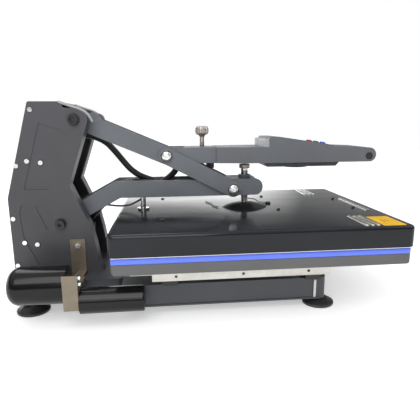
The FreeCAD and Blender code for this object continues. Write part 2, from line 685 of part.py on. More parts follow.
def make_dome():
    """Shallow pressure dome on the cover, under the pressure screw."""
    ball = (DOME_RADIUS ** 2 + DOME_HEIGHT ** 2) / (2 * DOME_HEIGHT)
    sphere = Part.makeSphere(ball, V(0, 0, COVER_TOP + DOME_HEIGHT - ball))
    cap = sphere.common(cyl_z(0, 0, DOME_RADIUS + 1, COVER_TOP, COVER_TOP + DOME_HEIGHT + 1))
    cap = cap.cut(cyl_z(0, 0, SCREW_RADIUS + RUNNING_FIT, COVER_TOP + 3, COVER_TOP + 20))
    save("pressure_dome", cap)


def make_guide():
    """Guide post between the cover and the arm, which keeps the platen square."""
    base = cyl_z(0, GUIDE_Y, 12, COVER_TOP, COVER_TOP + 3)
    rod = cyl_z(0, GUIDE_Y, GUIDE_RADIUS, COVER_TOP, ARM_BOTTOM + 20)
    save("guide_rod", base.fuse(rod).removeSplitter())


def make_pressure_screw():
    """Pressure screw: shank through the front block, and a knurled head on top."""
    top = HANDLE_BOTTOM - 5.5
    shank = cyl_z(0, 0, SCREW_RADIUS, COVER_TOP + 3, top - 8)
    head = cyl_z(0, 0, 11, top - 8, top)
    grooves = [cyl_z(11.4 * math.cos(math.radians(a)), 11.4 * math.sin(math.radians(a)),
                     1.2, top - 9, top + 1) for a in range(0, 360, 20)]
    save("pressure_screw", shank.fuse(head).removeSplitter().cut(Part.makeCompound(grooves)))


# --- arm -----------------------------------------------------------------------------
def arm_profile():
    """Corners (y, z, r) of an arm plate without its hub."""
    knee_y = REAR + KNEE_BEHIND
    knee_z = (ARM_BOTTOM + ARM_TOP) / 2
    dy, dz = knee_y - PIVOT_Y, knee_z - PIVOT_Z
    length = math.hypot(dy, dz)
    half = ARM_DEPTH / 2
    ny, nz = dz / length * half, -dy / length * half
    slope = dz / dy
    top_y = PIVOT_Y + ny + (ARM_TOP - PIVOT_Z - nz) / slope
    low_y = PIVOT_Y - ny + (ARM_BOTTOM - PIVOT_Z + nz) / slope
    r = ARM_FRONT_RADIUS
    return [(PIVOT_Y + ny, PIVOT_Z + nz), (top_y, ARM_TOP, 10), (ARM_FRONT, ARM_TOP, r),
            (ARM_FRONT, ARM_BOTTOM, r), (low_y, ARM_BOTTOM, 14), (PIVOT_Y - ny, PIVOT_Z - nz)]


def make_arm_plates():
    """Two cranked arm plates, pivoted on the arm shaft at the rear."""
    x0, x1 = -ARM_OUTER, -ARM_INNER
    plate = prism_x(arm_profile(), x0, x1)
    plate = plate.fuse(cyl_x(PIVOT_Y, PIVOT_Z, HUB_RADIUS, x0, x1)).removeSplitter()
    plate = plate.cut(cyl_x(PIVOT_Y, PIVOT_Z, HUB_TUBE, x0 - 1, x1 + 1))
    plate = plate.cut(cyl_x(FRONT_PIN[0], FRONT_PIN[1], PIN_RADIUS, x0 - 1, x1 + 1))
    save("arm_plate_left", plate)
    save("arm_plate_right", mirror(plate))


def make_arm_crosspieces():
    """Hub tube and bushes on the shaft, spacers and the guide bridge between the plates."""
    reach = FRAME_INNER - SIDE_GAP
    bush_outer = ARM_SHAFT_RADIUS + RUNNING_FIT + BUSH
    hub = tube_x(PIVOT_Y, PIVOT_Z, HUB_TUBE, bush_outer, -reach, reach)
    bushes = [tube_x(PIVOT_Y, PIVOT_Z, bush_outer, ARM_SHAFT_RADIUS + RUNNING_FIT, x0, x1)
              for x0, x1 in ((-reach, -reach + 25), (reach - 25, reach))]
    save("arm_bushes", bushes)
    middle = (ARM_BOTTOM + ARM_TOP) / 2
    spacer = cyl_x(140, middle, 8, -ARM_INNER, ARM_INNER)
    pin = cyl_x(GAS_HEAD[0], GAS_HEAD[1], 5, -ARM_INNER, ARM_INNER)
    bridge = box(-ARM_INNER, ARM_INNER, GUIDE_Y - 22, GUIDE_Y + 22, ARM_BOTTOM,
                 ARM_BOTTOM + 6)
    bridge = bridge.cut(cyl_z(0, GUIDE_Y, GUIDE_RADIUS + 0.1, ARM_BOTTOM - 1,
                              ARM_BOTTOM + 7))
    save("arm_crosspieces", hub, spacer, pin, bridge)


def make_front_block():
    """Steel block between the arm plates that carries the pressure screw."""
    y0, y1 = ARM_FRONT + 1, ARM_FRONT + 1 + BLOCK_LENGTH
    z0, z1 = ARM_BOTTOM + 0.5, ARM_TOP - 0.5
    half = ARM_INNER - BLOCK_FIT
    r = ARM_FRONT_RADIUS
    block = prism_x([(y0, z0, r), (y1, z0, 2), (y1, z1, 2), (y0, z1, r)], -half, half)
    block = block.cut(cyl_x(FRONT_PIN[0], FRONT_PIN[1], PIN_RADIUS, -half - 1, half + 1))
    block = block.cut(cyl_z(0, 0, SCREW_RADIUS + RUNNING_FIT, z0 - 1, z1 + 1))
    collar = tube_z(0, 0, SCREW_RADIUS + 5, SCREW_RADIUS + RUNNING_FIT, z1, z1 + 6)
    save("front_block", block.fuse(collar).removeSplitter())


def pin_with_heads(place, radius, reach, shaft_start):
    """Cross pin with a low round head outside each side; the shaft spans both."""
    y, z = place
    shaft = cyl_x(y, z, radius, -shaft_start, shaft_start)
    heads = [cyl_x(y, z, radius + 3, *sorted((side * reach, side * (reach + 4))))
             for side in (-1, 1)]
    sockets = [hexagon_x(y, z, 4.5, *sorted((side * (reach + 1.5), side * (reach + 5))))
               for side in (-1, 1)]
    return shaft.multiFuse(heads).cut(Part.makeCompound(sockets)).removeSplitter()


def make_links():
    """Link plates between the front pin and the toggle pin, with both bright pins."""
    x0, x1 = -LINK_OUTER, -LINK_INNER
    plate = bar(FRONT_PIN, TOGGLE_PIN, LINK_BAR, x0, x1)
    plate = plate.cut(cyl_x(FRONT_PIN[0], FRONT_PIN[1], PIN_RADIUS + RUNNING_FIT,
                            x0 - 1, x1 + 1))
    plate = plate.cut(cyl_x(TOGGLE_PIN[0], TOGGLE_PIN[1], PIN_RADIUS, x0 - 1, x1 + 1))
    save("link_plates", both(plate))
    save("front_pin", pin_with_heads(FRONT_PIN, PIN_RADIUS, LINK_OUTER + 0.2, LINK_OUTER + 0.2))
    save("toggle_pin", pin_with_heads(TOGGLE_PIN, PIN_RADIUS, LINK_OUTER, LINK_OUTER))


# --- lever, handle and control box ---------------------------------------------------
def make_lever():
    """Lever plates from the upper frame pivot over the toggle pin to the handle."""
    x0, x1 = -ARM_OUTER, -ARM_INNER
    rear = bar(LEVER_PIVOT, TOGGLE_PIN, LEVER_BAR, x0, x1)
    step = HANDLE_REAR + SEAT_GAP
    front = prism_x([(TOGGLE_PIN[0] + 6, HANDLE_BOTTOM, 12), (TOGGLE_PIN[0] + 4, HANDLE_TOP, 0),
                     (step, HANDLE_TOP, 0), (step, HANDLE_TOP - BOX_WALL, 0),
                     (LEVER_END, HANDLE_TOP - BOX_WALL, 4), (LEVER_END, HANDLE_BOTTOM, 4)],
                    x0, x1)
    hump = cyl_x(LEVER_PIVOT[0] - 27, LEVER_PIVOT[1], 13, x0, x1)
    plate = rear.multiFuse([front, hump]).removeSplitter()
    plate = plate.cut(cyl_x(TOGGLE_PIN[0], TOGGLE_PIN[1], PIN_RADIUS + RUNNING_FIT,
                            x0 - 1, x1 + 1))
    save("lever_plate_left", plate)
    save("lever_plate_right", mirror(plate))


def lever_point(share, rise):
    """Point on the lever's rear bar, by its share of the way from the pivot, plus rise."""
    y = LEVER_PIVOT[0] + share * (TOGGLE_PIN[0] - LEVER_PIVOT[0])
    z = LEVER_PIVOT[1] + share * (TOGGLE_PIN[1] - LEVER_PIVOT[1])
    return y, z + rise


def make_lever_crosspieces():
    """Tubes and tie plates that hold the two lever plates apart."""
    tubes = [cyl_x(y, z, 9, -ARM_INNER, ARM_INNER)
             for y, z in (lever_point(0.12, 0), lever_point(0.6, 0))]
    top = box(-ARM_INNER, ARM_INNER, KNOB_Y - 24, KNOB_Y + 36, HANDLE_TOP - 6, HANDLE_TOP)
    low = box(-ARM_INNER, ARM_INNER, KNOB_Y - 24, KNOB_Y + 14, HANDLE_BOTTOM,
              HANDLE_BOTTOM + 6)
    bore = cyl_z(0, KNOB_Y, 4.55, HANDLE_BOTTOM - 1, HANDLE_TOP + 1)
    packer = box(-HANDLE_HALF + BOX_WALL, -ARM_OUTER, HANDLE_REAR - 70,
                 HANDLE_REAR - 4, HANDLE_BOTTOM + 2, HANDLE_TOP - BOX_WALL)
    save("lever_crosspieces", tubes, top.cut(bore), low.cut(bore),
         both(packer.common(handle_plan(BOX_WALL))))


def handle_profile():
    """Corners (y, z, r) of the handle body's side."""
    nose = HANDLE_FRONT
    return [(HANDLE_REAR, HANDLE_BOTTOM, 0), (HANDLE_REAR, HANDLE_TOP, 0),
            (BOX_FRONT, HANDLE_TOP, 0), (nose + 2, HANDLE_TOP - 4, 14),
            (nose, HANDLE_BOTTOM, 13)]


def handle_plan(wall):
    """Block with the handle's outline from above, less a wall: it widens in front of a neck."""
    side = [(NECK_HALF - wall, HANDLE_REAR + 2, 0),
            (HANDLE_HALF - wall, NECK_FRONT, NECK_BEND - wall),
            (HANDLE_HALF - wall, HANDLE_FRONT - 1, 0)]
    outline = side + [(-x, y, r) for x, y, r in reversed(side)]
    return prism_z(outline, HANDLE_BOTTOM - 2, HANDLE_TOP + 2)


def make_handle():
    """Folded handle body, open below, its base plate and the grip rod in its nose."""
    half = HANDLE_HALF
    shell = prism_x(handle_profile(), -half, half).common(handle_plan(0))
    wall = BOX_WALL
    inner = [(HANDLE_REAR + 1, HANDLE_BOTTOM - 1), (HANDLE_REAR + 1, HANDLE_TOP - wall),
             (BOX_FRONT, HANDLE_TOP - wall), (HANDLE_FRONT + wall + 2, HANDLE_TOP - 4 - wall, 11),
             (HANDLE_FRONT + wall, HANDLE_BOTTOM - 1)]
    shell = shell.cut(prism_x(inner, -half + wall, half - wall).common(handle_plan(wall)))
    passage = box(-22, 22, BOX_REAR - 90, BOX_REAR - 20, HANDLE_TOP - wall - 1, HANDLE_TOP + 1)
    rod_y, rod_z = HANDLE_FRONT + 15, HANDLE_BOTTOM + 11
    ends = cyl_x(rod_y, rod_z, 7, -half - 1, half + 1)
    wells = [button_cylinder(k, BUTTON_RADIUS + BUTTON_GAP, -12, 12) for k in range(3)]
    shell = shell.cut(Part.makeCompound([passage] + wells)).cut(ends)
    save("handle_body", shell.removeSplitter())
    rod = cyl_x(rod_y, rod_z, 7, -half - 0.8, half + 0.8)
    save("grip_rod", rod)
    save("handle_floor", handle_floor(half - wall - 0.2))


def handle_floor(half):
    """Tray under the handle with bevelled ends and a round boss below it."""
    y0, y1 = FLOOR_FRONT, FLOOR_REAR
    low, high = HANDLE_BOTTOM - FLOOR_DEPTH, HANDLE_BOTTOM + 2
    outline = [(y0, high), (y0, low + 6), (y0 + 6, low), (y1 - 7, low), (y1, low + 7), (y1, high)]
    floor = prism_x(outline, -half, half)
    hollow = [(y0 + 3, high + 1), (y0 + 3, low + 7), (y0 + 7, low + 3), (y1 - 8, low + 3),
              (y1 - 3, low + 8), (y1 - 3, high + 1)]
    floor = floor.cut(prism_x(hollow, -half + 3, half - 3))
    boss = cyl_z(0, (FLOOR_FRONT + FLOOR_REAR) / 2, 26, low - 4, low)
    return floor.fuse(boss).removeSplitter()


def box_slope():
    """Slope of the control box's top, as rise per millimetre towards the back."""
    return (BOX_HEIGHT - BOX_LIP) / (BOX_REAR - BOX_FLAT - BOX_FRONT)


def box_top(y):
    """Height of the control box's sloping top at a place y."""
    return HANDLE_TOP + BOX_LIP + (y - BOX_FRONT) * box_slope()


def make_control_box():
    """Wedge-shaped control box on the handle, with its display and rear cable block."""
    half, wall, flat = HANDLE_HALF, BOX_WALL, BOX_REAR - BOX_FLAT
    profile = [(BOX_REAR, HANDLE_TOP, 0), (BOX_REAR, HANDLE_TOP + BOX_HEIGHT, 3),
               (flat, HANDLE_TOP + BOX_HEIGHT, 6), (BOX_FRONT, HANDLE_TOP + BOX_LIP, 1),
               (BOX_FRONT - 1, HANDLE_TOP, 0)]
    lid = prism_x(profile, -half, half)
    tip = BOX_FRONT + 22
    cavity = [(BOX_REAR - wall, HANDLE_TOP - 1), (BOX_REAR - wall, HANDLE_TOP + BOX_HEIGHT - wall),
              (flat, HANDLE_TOP + BOX_HEIGHT - wall), (tip, box_top(tip) - wall), (tip, HANDLE_TOP - 1)]
    lid = lid.cut(prism_x(cavity, -half + wall, half - wall))
    window = box(*WINDOW_X, *WINDOW_Y, HANDLE_TOP + 3, HANDLE_TOP + 40)
    cutters = [window]
    for k in range(3):
        cutters.append(button_cylinder(k, BUTTON_RADIUS + BUTTON_GAP, -12, 12))
    save("control_box", lid.cut(Part.makeCompound(cutters)))
    y0, y1 = WINDOW_Y[0] + PANE_GAP, WINDOW_Y[1] - PANE_GAP
    high = -2 * PANE_GAP
    low = high - PANE_DEPTH
    pane = prism_x([(y0, box_top(y0) + low), (y0, box_top(y0) + high),
                    (y1, box_top(y1) + high), (y1, box_top(y1) + low)],
                   WINDOW_X[0] + PANE_GAP, WINDOW_X[1] - PANE_GAP)
    save("display_window", pane)
    block = box(-half + 1, half - 1, BOX_REAR + SEAT_GAP, BOX_REAR + BLOCK_DEPTH, HANDLE_TOP,
                HANDLE_TOP + BLOCK_RISE)
    save("cable_block", block.makeFillet(2, [e for e in block.Edges
                                             if e.BoundBox.ZMin > HANDLE_TOP + 1]))


def button_cylinder(index, radius, low, high):
    """Cylinder of one button, square to the sloping top, from low to high along it."""
    y = BUTTON_FIRST_Y - index * BUTTON_PITCH
    tilt = math.atan(box_slope())
    up = V(0, -math.sin(tilt), math.cos(tilt))
    foot = V(BUTTON_X, y, box_top(y)) + up * low
    return Part.makeCylinder(radius, high - low, foot, up)


def make_buttons():
    """Three push buttons on the control box."""
    for index, name in enumerate(("red_button", "green_button", "blue_button")):
        cap = button_cylinder(index, BUTTON_RADIUS, -2.3, 3.2)
        save(name, cap)


def make_knob():
    """Stop knob on the lever, its stem through both tie plates, and the rubber bumper."""
    stem = cyl_z(0, KNOB_Y, 4.5, HANDLE_BOTTOM - 2, HANDLE_TOP + 24)
    head = cyl_z(0, KNOB_Y, 11.5, HANDLE_TOP + 24, HANDLE_TOP + 40)
    head = head.makeFillet(2, [e for e in head.Edges if e.BoundBox.ZLength < 0.01])
    grooves = [cyl_z(12 * math.cos(math.radians(a)), KNOB_Y + 12 * math.sin(math.radians(a)),
                     1.3, HANDLE_TOP + 23, HANDLE_TOP + 41) for a in range(0, 360, 24)]
    save("stop_knob", stem.fuse(head).removeSplitter().cut(Part.makeCompound(grooves)))
    save("lever_bumper", cyl_z(0, KNOB_Y - 16, 8, HANDLE_BOTTOM - 12, HANDLE_BOTTOM))


# --- gas spring ----------------------------------------------------------------------
def make_gas_spring():
    """Gas spring under the arm: cylinder on a foot bracket, rod with an eye at the arm."""
    dy, dz = GAS_HEAD[0] - GAS_FOOT[0], GAS_HEAD[1] - GAS_FOOT[1]
    span = math.hypot(dy, dz)
    along = V(0, dy / span, dz / span)
    foot = V(0, GAS_FOOT[0], GAS_FOOT[1])
    barrel = Part.makeCylinder(9, 58, foot + along * 11, along)
    barrel = barrel.cut(Part.makeCylinder(4 + RUNNING_FIT, 55, foot + along * 16, along))
    eye = cyl_x(GAS_FOOT[0], GAS_FOOT[1], 8, -6, 6)
    barrel = barrel.fuse(eye).cut(cyl_x(GAS_FOOT[0], GAS_FOOT[1], 5 + RUNNING_FIT, -7, 7))
    save("gas_cylinder", barrel.removeSplitter())
    rod = Part.makeCylinder(4, span - 22 - 8, foot + along * 22, along)
    eye = cyl_x(GAS_HEAD[0], GAS_HEAD[1], 10.5, -5, 5)
    rod = rod.fuse(eye).cut(cyl_x(GAS_HEAD[0], GAS_HEAD[1], 7.5, -6, 6))
    save("gas_rod", rod.removeSplitter())
    ears = []
    for x0, x1 in ((-9.5, -6.5), (6.5, 9.5)):
        ear = prism_x([(GAS_FOOT[0] - 14, BASE_TOP), (GAS_FOOT[0] - 9, GAS_FOOT[1] + 9, 8),
                       (GAS_FOOT[0] + 9, GAS_FOOT[1] + 9, 8), (GAS_FOOT[0] + 14, BASE_TOP)],
                      x0, x1)
        ears.append(ear)
    pin = cyl_x(GAS_FOOT[0], GAS_FOOT[1], 5, -11, 11)
    bracket = ears[0].multiFuse([ears[1], pin, box(-9.5, 9.5, GAS_FOOT[0] - 14,
                                                  GAS_FOOT[0] + 14, BASE_TOP, BASE_TOP + 2)])
    save("gas_bracket", bracket.removeSplitter())


def make_power_module():
    """Power relay and its heat sink, on the rear base inside the frame."""
    y0 = PIVOT_Y + 20
    sink = box(-52, -14, y0, y0 + 40, BASE_TOP, BASE_TOP + 8)
    fins = [box(x, x + 2, y0, y0 + 40, BASE_TOP + 8, BASE_TOP + 20) for x in range(-52, -15, 6)]
    save("power_module", sink.multiFuse(fins).removeSplitter())


# --- side canister -------------------------------------------------------------------
def make_canister():
    """Black side canister: a slim front tube, a fat rear body and the clamp that holds them."""
    tube = cyl_y(TUBE_X, TUBE_Z, TUBE_RADIUS, TUBE_FRONT, STRAP_FRONT)
    front_ring = [e for e in tube.Edges if e.BoundBox.YMax < TUBE_FRONT + 0.1]
    save("canister_tube", tube.makeFillet(3, front_ring))
    body = cyl_y(BODY_X, BODY_Z, BODY_RADIUS, STRAP_FRONT + STRAP_WIDTH, BODY_BACK)
    rear_ring = [e for e in body.Edges if e.BoundBox.YMin > BODY_BACK - 0.1]
    save("canister_body", body.makeFillet(18, rear_ring))
    y0, y1 = STRAP_FRONT, STRAP_FRONT + STRAP_WIDTH
    z0, z1 = TUBE_Z + STRAP_LOW, TUBE_Z + STRAP_HIGH
    x0 = TUBE_X - 19
    strap = box(x0, x0 + STRAP_SHEET, y0, y1, z0, z1)
    flange = box(x0, x0 + STRAP_FLANGE, y0, y0 + STRAP_SHEET, z0, z1)
    core = box(x0, TUBE_X + 48, y0, y1, z0, TUBE_Z + STRAP_CORE)
    tab_face, foot = -FRAME_HALF - TAB_SHEET, BASE_TOP + SIDE_GAP
    bridge = box(TUBE_X + 40, tab_face, y0 + TAB_SHIFT, y1, foot, foot + 4)
    tab = box(tab_face, -FRAME_HALF, y0 + TAB_SHIFT, y0 + TAB_SHIFT + TAB_WIDTH, foot,
              TUBE_Z + TAB_TOP)
    clamp = strap.multiFuse([flange, core, bridge, tab])
    hole = cyl_x(y0 + TAB_BOLT[0], TUBE_Z + TAB_BOLT[1], 3.2, tab_face - 1, -FRAME_HALF)
    save("canister_clamp", clamp.cut(hole).removeSplitter())


def canister_bolts():
    """Bolt of the clamp's tab on the frame, two bolts on the strap's front and one below it."""
    face = -FRAME_HALF - TAB_SHEET
    bolts = [cyl_x(STRAP_FRONT + TAB_BOLT[0], TUBE_Z + TAB_BOLT[1], 5, face - 4, face)]
    for z in (TUBE_Z + 43, TUBE_Z + 33):
        bolts.append(cyl_y(TUBE_X - 11, z, 3.5, STRAP_FRONT - 4, STRAP_FRONT))
    low = TUBE_Z + STRAP_LOW
    bolts.append(cyl_z(TUBE_X - 8, STRAP_FRONT + 12, 3.5, low - 4, low))
    return bolts


# --- cable sleeves -------------------------------------------------------------------
def smooth_tube(points, radius):
    """Tube along straight runs joined by tangent arcs, each as large as its runs allow."""
    pieces = []
    start = points[0]
    for i in range(1, len(points) - 1):
        back = points[i - 1] - points[i]
        ahead = points[i + 1] - points[i]
        run = min(back.Length, ahead.Length)
        half = back.getAngle(ahead) / 2
        reach = 0.45 * run
        bend = reach * math.tan(half)
        back.normalize()
        ahead.normalize()
        middle = back + ahead
        middle.normalize()
        top = points[i] + middle * (bend / math.sin(half) - bend)
        first = points[i] + back * reach
        last = points[i] + ahead * reach
        pieces.append(Part.LineSegment(start, first).toShape())
        pieces.append(Part.Arc(first, top, last).toShape())
        print("bend radius", round(bend, 1))
        start = last
    pieces.append(Part.LineSegment(start, points[-1]).toShape())
    path = Part.Wire(pieces)
    profile = Part.Wire(Part.makeCircle(radius, points[0], points[1] - points[0]))
    tube = path.makePipeShell([profile], True, False)
    print("tube volume share", round(tube.Volume / (math.pi * radius ** 2 * path.Length), 3))
    return tube


def make_sleeves():
    """Corrugated cable sleeves: frame to arm, and arm to handle."""
    rear = [(-26, 0.79), (-46, 0.76), (-64, 0.71), (-81, 0.63), (-96, 0.48), (-111, 0.3),
            (-124, 0.15), (-140, 0.035), (-156, -0.025), (-168, -0.06)]
    rise = LEVER_PIVOT[1] - ARM_TOP
    points = [V(0, PIVOT_Y + dy, ARM_TOP + share * rise) for dy, share in rear]
    save("cable_sleeve_rear", smooth_tube(points, SLEEVE_RADIUS))
    front = [(172, -10), (160, -3), (149, 5), (138, 17), (129, 34)]
    points = [V(0, y, ARM_TOP + dz) for y, dz in front]
    save("cable_sleeve_front", smooth_tube(points, SLEEVE_RADIUS))


def main():
    """Build every piece and write its file."""
    os.makedirs("parts", exist_ok=True)
    make_feet()
    make_base_channels()
    make_crossbar()
    make_rear_box()
    make_side_plates()
    make_back_cover()
    make_mains()
    make_cross_bars()
    make_frame_screws()
    make_pivot_bolts()
    make_rails()
    make_drawer()
    make_heat_plate()
    make_cover()
    make_dome()
    make_guide()
    make_pressure_screw()
    make_arm_plates()
    make_arm_crosspieces()
    make_front_block()
    make_links()
    make_lever()
    make_lever_crosspieces()
    make_handle()
    make_control_box()
    make_buttons()
    make_knob()
    make_gas_spring()
    make_power_module()
    make_canister()
    make_sleeves()


main()
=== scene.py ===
"""Looks of the clamshell heat press: finishes, turned and knurled parts, pad, cables and studio."""
import logging
import math
from dataclasses import dataclass
from enum import Enum
from typing import Callable, Dict, List, Optional, Sequence, Tuple

import bmesh
import bpy
import numpy as np
from mathutils import Matrix, Vector


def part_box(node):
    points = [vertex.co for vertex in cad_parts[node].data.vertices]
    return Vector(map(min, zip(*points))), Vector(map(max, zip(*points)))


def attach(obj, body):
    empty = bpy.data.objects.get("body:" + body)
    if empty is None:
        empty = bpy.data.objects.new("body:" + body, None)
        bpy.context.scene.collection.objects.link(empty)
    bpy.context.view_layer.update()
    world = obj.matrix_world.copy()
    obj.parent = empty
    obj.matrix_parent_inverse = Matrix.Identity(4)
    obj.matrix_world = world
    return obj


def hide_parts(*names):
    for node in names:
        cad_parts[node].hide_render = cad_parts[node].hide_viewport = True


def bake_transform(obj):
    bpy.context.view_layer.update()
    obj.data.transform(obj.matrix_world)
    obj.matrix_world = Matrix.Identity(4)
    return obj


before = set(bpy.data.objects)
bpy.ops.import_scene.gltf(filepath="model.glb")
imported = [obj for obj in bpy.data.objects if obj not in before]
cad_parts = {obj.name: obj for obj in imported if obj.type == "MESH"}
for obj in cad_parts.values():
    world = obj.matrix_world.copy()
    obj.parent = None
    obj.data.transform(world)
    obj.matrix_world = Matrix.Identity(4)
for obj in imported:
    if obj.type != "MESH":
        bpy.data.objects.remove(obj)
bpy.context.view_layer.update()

MM = 0.001
TAU = 2 * math.pi
CORNER_STEPS = 8

Colour = Tuple[float, float, float]
Point = Tuple[float, float, float]
Relief = Callable[[np.ndarray, np.ndarray], np.ndarray]

logging.basicConfig(level=logging.INFO, format="%(message)s")
log = logging.getLogger("heat_press")


class Body(Enum):
    """The bodies of the machine that pieces ride on."""

    FRAME = "frame"
    DRAWER = "drawer"
    ARM = "arm"
    UPPER = "upper_platen"
    SCREW = "pressure_screw"
    LINKS = "links"
    LEVER = "lever"
    KNOB = "stop_knob"
    RED = "red_button"
    GREEN = "green_button"
    BLUE = "blue_button"


class Slot(Enum):
    """The record's material slots."""

    RUBBER = "rubber"
    ZINC = "zinc"
    SCREW_ZINC = "screw_zinc"
    BASE_PAINT = "base_paint"
    FRAME_PAINT = "frame_paint"
    ARM_PAINT = "arm_paint"
    HANDLE_PAINT = "handle_paint"
    PAN_PAINT = "pan_paint"
    COVER_BLACK = "cover_black"
    GLOSS_BLACK = "gloss_black"
    BLACK_STEEL = "black_steel"
    BLACK_PLASTIC = "black_plastic"
    ROCKER_PLASTIC = "rocker_plastic"
    LIGHT_PLASTIC = "light_plastic"
    POLISHED_STEEL = "polished_steel"
    KNOB_STEEL = "knob_steel"
    CLAMP_ZINC = "clamp_zinc"
    BARE_ALUMINIUM = "bare_aluminium"
    BRONZE = "bronze"
    INSULATION = "insulation"
    PAD_SILICONE = "pad_silicone"
    SLEEVE_BLACK = "sleeve_black"
    DISPLAY_GLASS = "display_glass"
    RED_PLASTIC = "red_plastic"
    GREEN_PLASTIC = "green_plastic"
    BLUE_PLASTIC = "blue_plastic"


def shade(colour: Colour, factor: float) -> Colour:
    """The colour made lighter or darker by a factor, kept below one."""
    return tuple(min(channel * factor, 1.0) for channel in colour)


class ShaderTree:
    """The node tree of one material, with short calls for the patterns that the finishes use."""

    def __init__(self, name: str) -> None:
        """Start a material with its shader and its object coordinates."""
        self.material = bpy.data.materials.new(name)
        self.material.use_nodes = True
        self.nodes = self.material.node_tree.nodes
        self.shader = self.nodes["Principled BSDF"]
        self.place = self.nodes.new("ShaderNodeTexCoord").outputs["Object"]

    def link(self, source: bpy.types.NodeSocket, target: bpy.types.NodeSocket) -> None:
        """Join two sockets."""
        self.material.node_tree.links.new(source, target)

    def fix(self, **values: object) -> None:
        """Set constants on the shader's own sockets, named with underscores for spaces."""
        for name, value in values.items():
            self.shader.inputs[name.replace("_", " ")].default_value = value

    def mapped(self, stretch: Point) -> bpy.types.NodeSocket:
        """Object coordinates scaled along each axis.

        Args:
            stretch: scale along X, Y and Z.

        Returns:
            The vector socket.
        """
        mapping = self.nodes.new("ShaderNodeMapping")
        mapping.inputs["Scale"].default_value = stretch
        self.link(self.place, mapping.inputs["Vector"])
        return mapping.outputs["Vector"]

    def noise(self, scale: float, detail: float = 3.0, stretch: Point = (1, 1, 1)) -> bpy.types.NodeSocket:
        """Fractal noise in object space.

        Args:
            scale: repeats per metre.
            detail: octaves.
            stretch: extra scale along X, Y and Z, which draws the noise into streaks.

        Returns:
            The value socket, about 0.3 to 0.7.
        """
        node = self.nodes.new("ShaderNodeTexNoise")
        node.inputs["Scale"].default_value = scale
        node.inputs["Detail"].default_value = detail
        self.link(self.mapped(stretch), node.inputs["Vector"])
        return node.outputs["Fac"]

    def cells(self, scale: float) -> bpy.types.NodeSocket:
        """Voronoi cells in object space.

        Args:
            scale: cells per metre.

        Returns:
            One random value for each cell.
        """
        node = self.nodes.new("ShaderNodeTexVoronoi")
        node.inputs["Scale"].default_value = scale
        self.link(self.place, node.inputs["Vector"])
        split = self.nodes.new("ShaderNodeSeparateColor")
        self.link(node.outputs["Color"], split.inputs["Color"])
        return split.outputs["Red"]

    def waves(self, scale: float, axis: str) -> bpy.types.NodeSocket:
        """Parallel sine bands, for turned or milled lines.

        Args:
            scale: bands per metre.
            axis: the axis that they cross.

        Returns:
            The value socket.
        """
        node = self.nodes.new("ShaderNodeTexWave")
        node.bands_direction = axis
        node.inputs["Scale"].default_value = scale
        node.inputs["Distortion"].default_value = 0.6
        self.link(self.place, node.inputs["Vector"])
        return node.outputs["Fac"]

    def span(
        self, value: bpy.types.NodeSocket, low: float, high: float, start: float = 0.3, end: float = 0.7
    ) -> bpy.types.NodeSocket:
        """Map a value's span on to another, clamped.

        Args:
            value: the value socket.
            low: what start becomes.
            high: what end becomes.
            start: the lower end of the value's span.
            end: its upper end.

        Returns:
            The mapped value.
        """
        node = self.nodes.new("ShaderNodeMapRange")
        for name, number in zip(("From Min", "From Max", "To Min", "To Max"), (start, end, low, high)):
            node.inputs[name].default_value = number
        self.link(value, node.inputs["Value"])
        return node.outputs["Result"]

    def between(self, value: bpy.types.NodeSocket, low: Colour, high: Colour) -> bpy.types.NodeSocket:
        """Blend two plain colours.

        Args:
            value: share of the second colour.
            low: the colour at 0.
            high: the colour at 1.

        Returns:
            The colour socket.
        """
        node = self.nodes.new("ShaderNodeMix")
        node.data_type = "RGBA"
        node.inputs[6].default_value = (*low, 1.0)
        node.inputs[7].default_value = (*high, 1.0)
        self.link(value, node.inputs[0])
        return node.outputs[2]

    def over(
        self, value: bpy.types.NodeSocket, under: bpy.types.NodeSocket, top: Colour
    ) -> bpy.types.NodeSocket:
        """Lay a plain colour over a pattern.

        Args:
            value: share of the plain colour.
            under: the pattern.
            top: the plain colour.

        Returns:
            The colour socket.
        """
        node = self.nodes.new("ShaderNodeMix")
        node.data_type = "RGBA"
        node.inputs[7].default_value = (*top, 1.0)
        self.link(value, node.inputs[0])
        self.link(under, node.inputs[6])
        return node.outputs[2]

    def band(self, axis: int, low: float, high: float, soft: float) -> bpy.types.NodeSocket:
        """One inside a span along an object axis, and zero outside.

        Args:
            axis: 0, 1 or 2 for X, Y or Z.
            low: where the span starts, in metres.
            high: where it ends.
            soft: half the width of each end's ramp.

        Returns:
            The value socket.
        """
        split = self.nodes.new("ShaderNodeSeparateXYZ")
        self.link(self.place, split.inputs[0])
        rise = self.span(split.outputs[axis], 0.0, 1.0, low - soft, low + soft)
        fall = self.span(split.outputs[axis], 1.0, 0.0, high - soft, high + soft)
        return self.times(rise, fall)

    def times(self, one: bpy.types.NodeSocket, two: bpy.types.NodeSocket) -> bpy.types.NodeSocket:
        """Multiply two values.

        Args:
            one: the first value.
            two: the second value.

        Returns:
            Their product.
        """
        node = self.nodes.new("ShaderNodeMath")
        node.operation = "MULTIPLY"
        self.link(one, node.inputs[0])
        self.link(two, node.inputs[1])
        return node.outputs[0]

    def paint(self, colour: bpy.types.NodeSocket, rough: bpy.types.NodeSocket) -> None:
        """Join a colour and a roughness to the shader."""
        self.link(colour, self.shader.inputs["Base Color"])
        self.link(rough, self.shader.inputs["Roughness"])

    def bump(self, height: bpy.types.NodeSocket, depth: float, strength: float = 1.0) -> None:
        """Raise the surface by a height pattern.

        Args:
            height: value socket from 0 to 1.
            depth: height of 1 in metres.
            strength: share of the bump that shows.
        """
        node = self.nodes.new("ShaderNodeBump")
        node.inputs["Distance"].default_value = depth
        node.inputs["Strength"].default_value = strength
        self.link(height, node.inputs["Height"])
        self.link(node.outputs["Normal"], self.shader.inputs["Normal"])


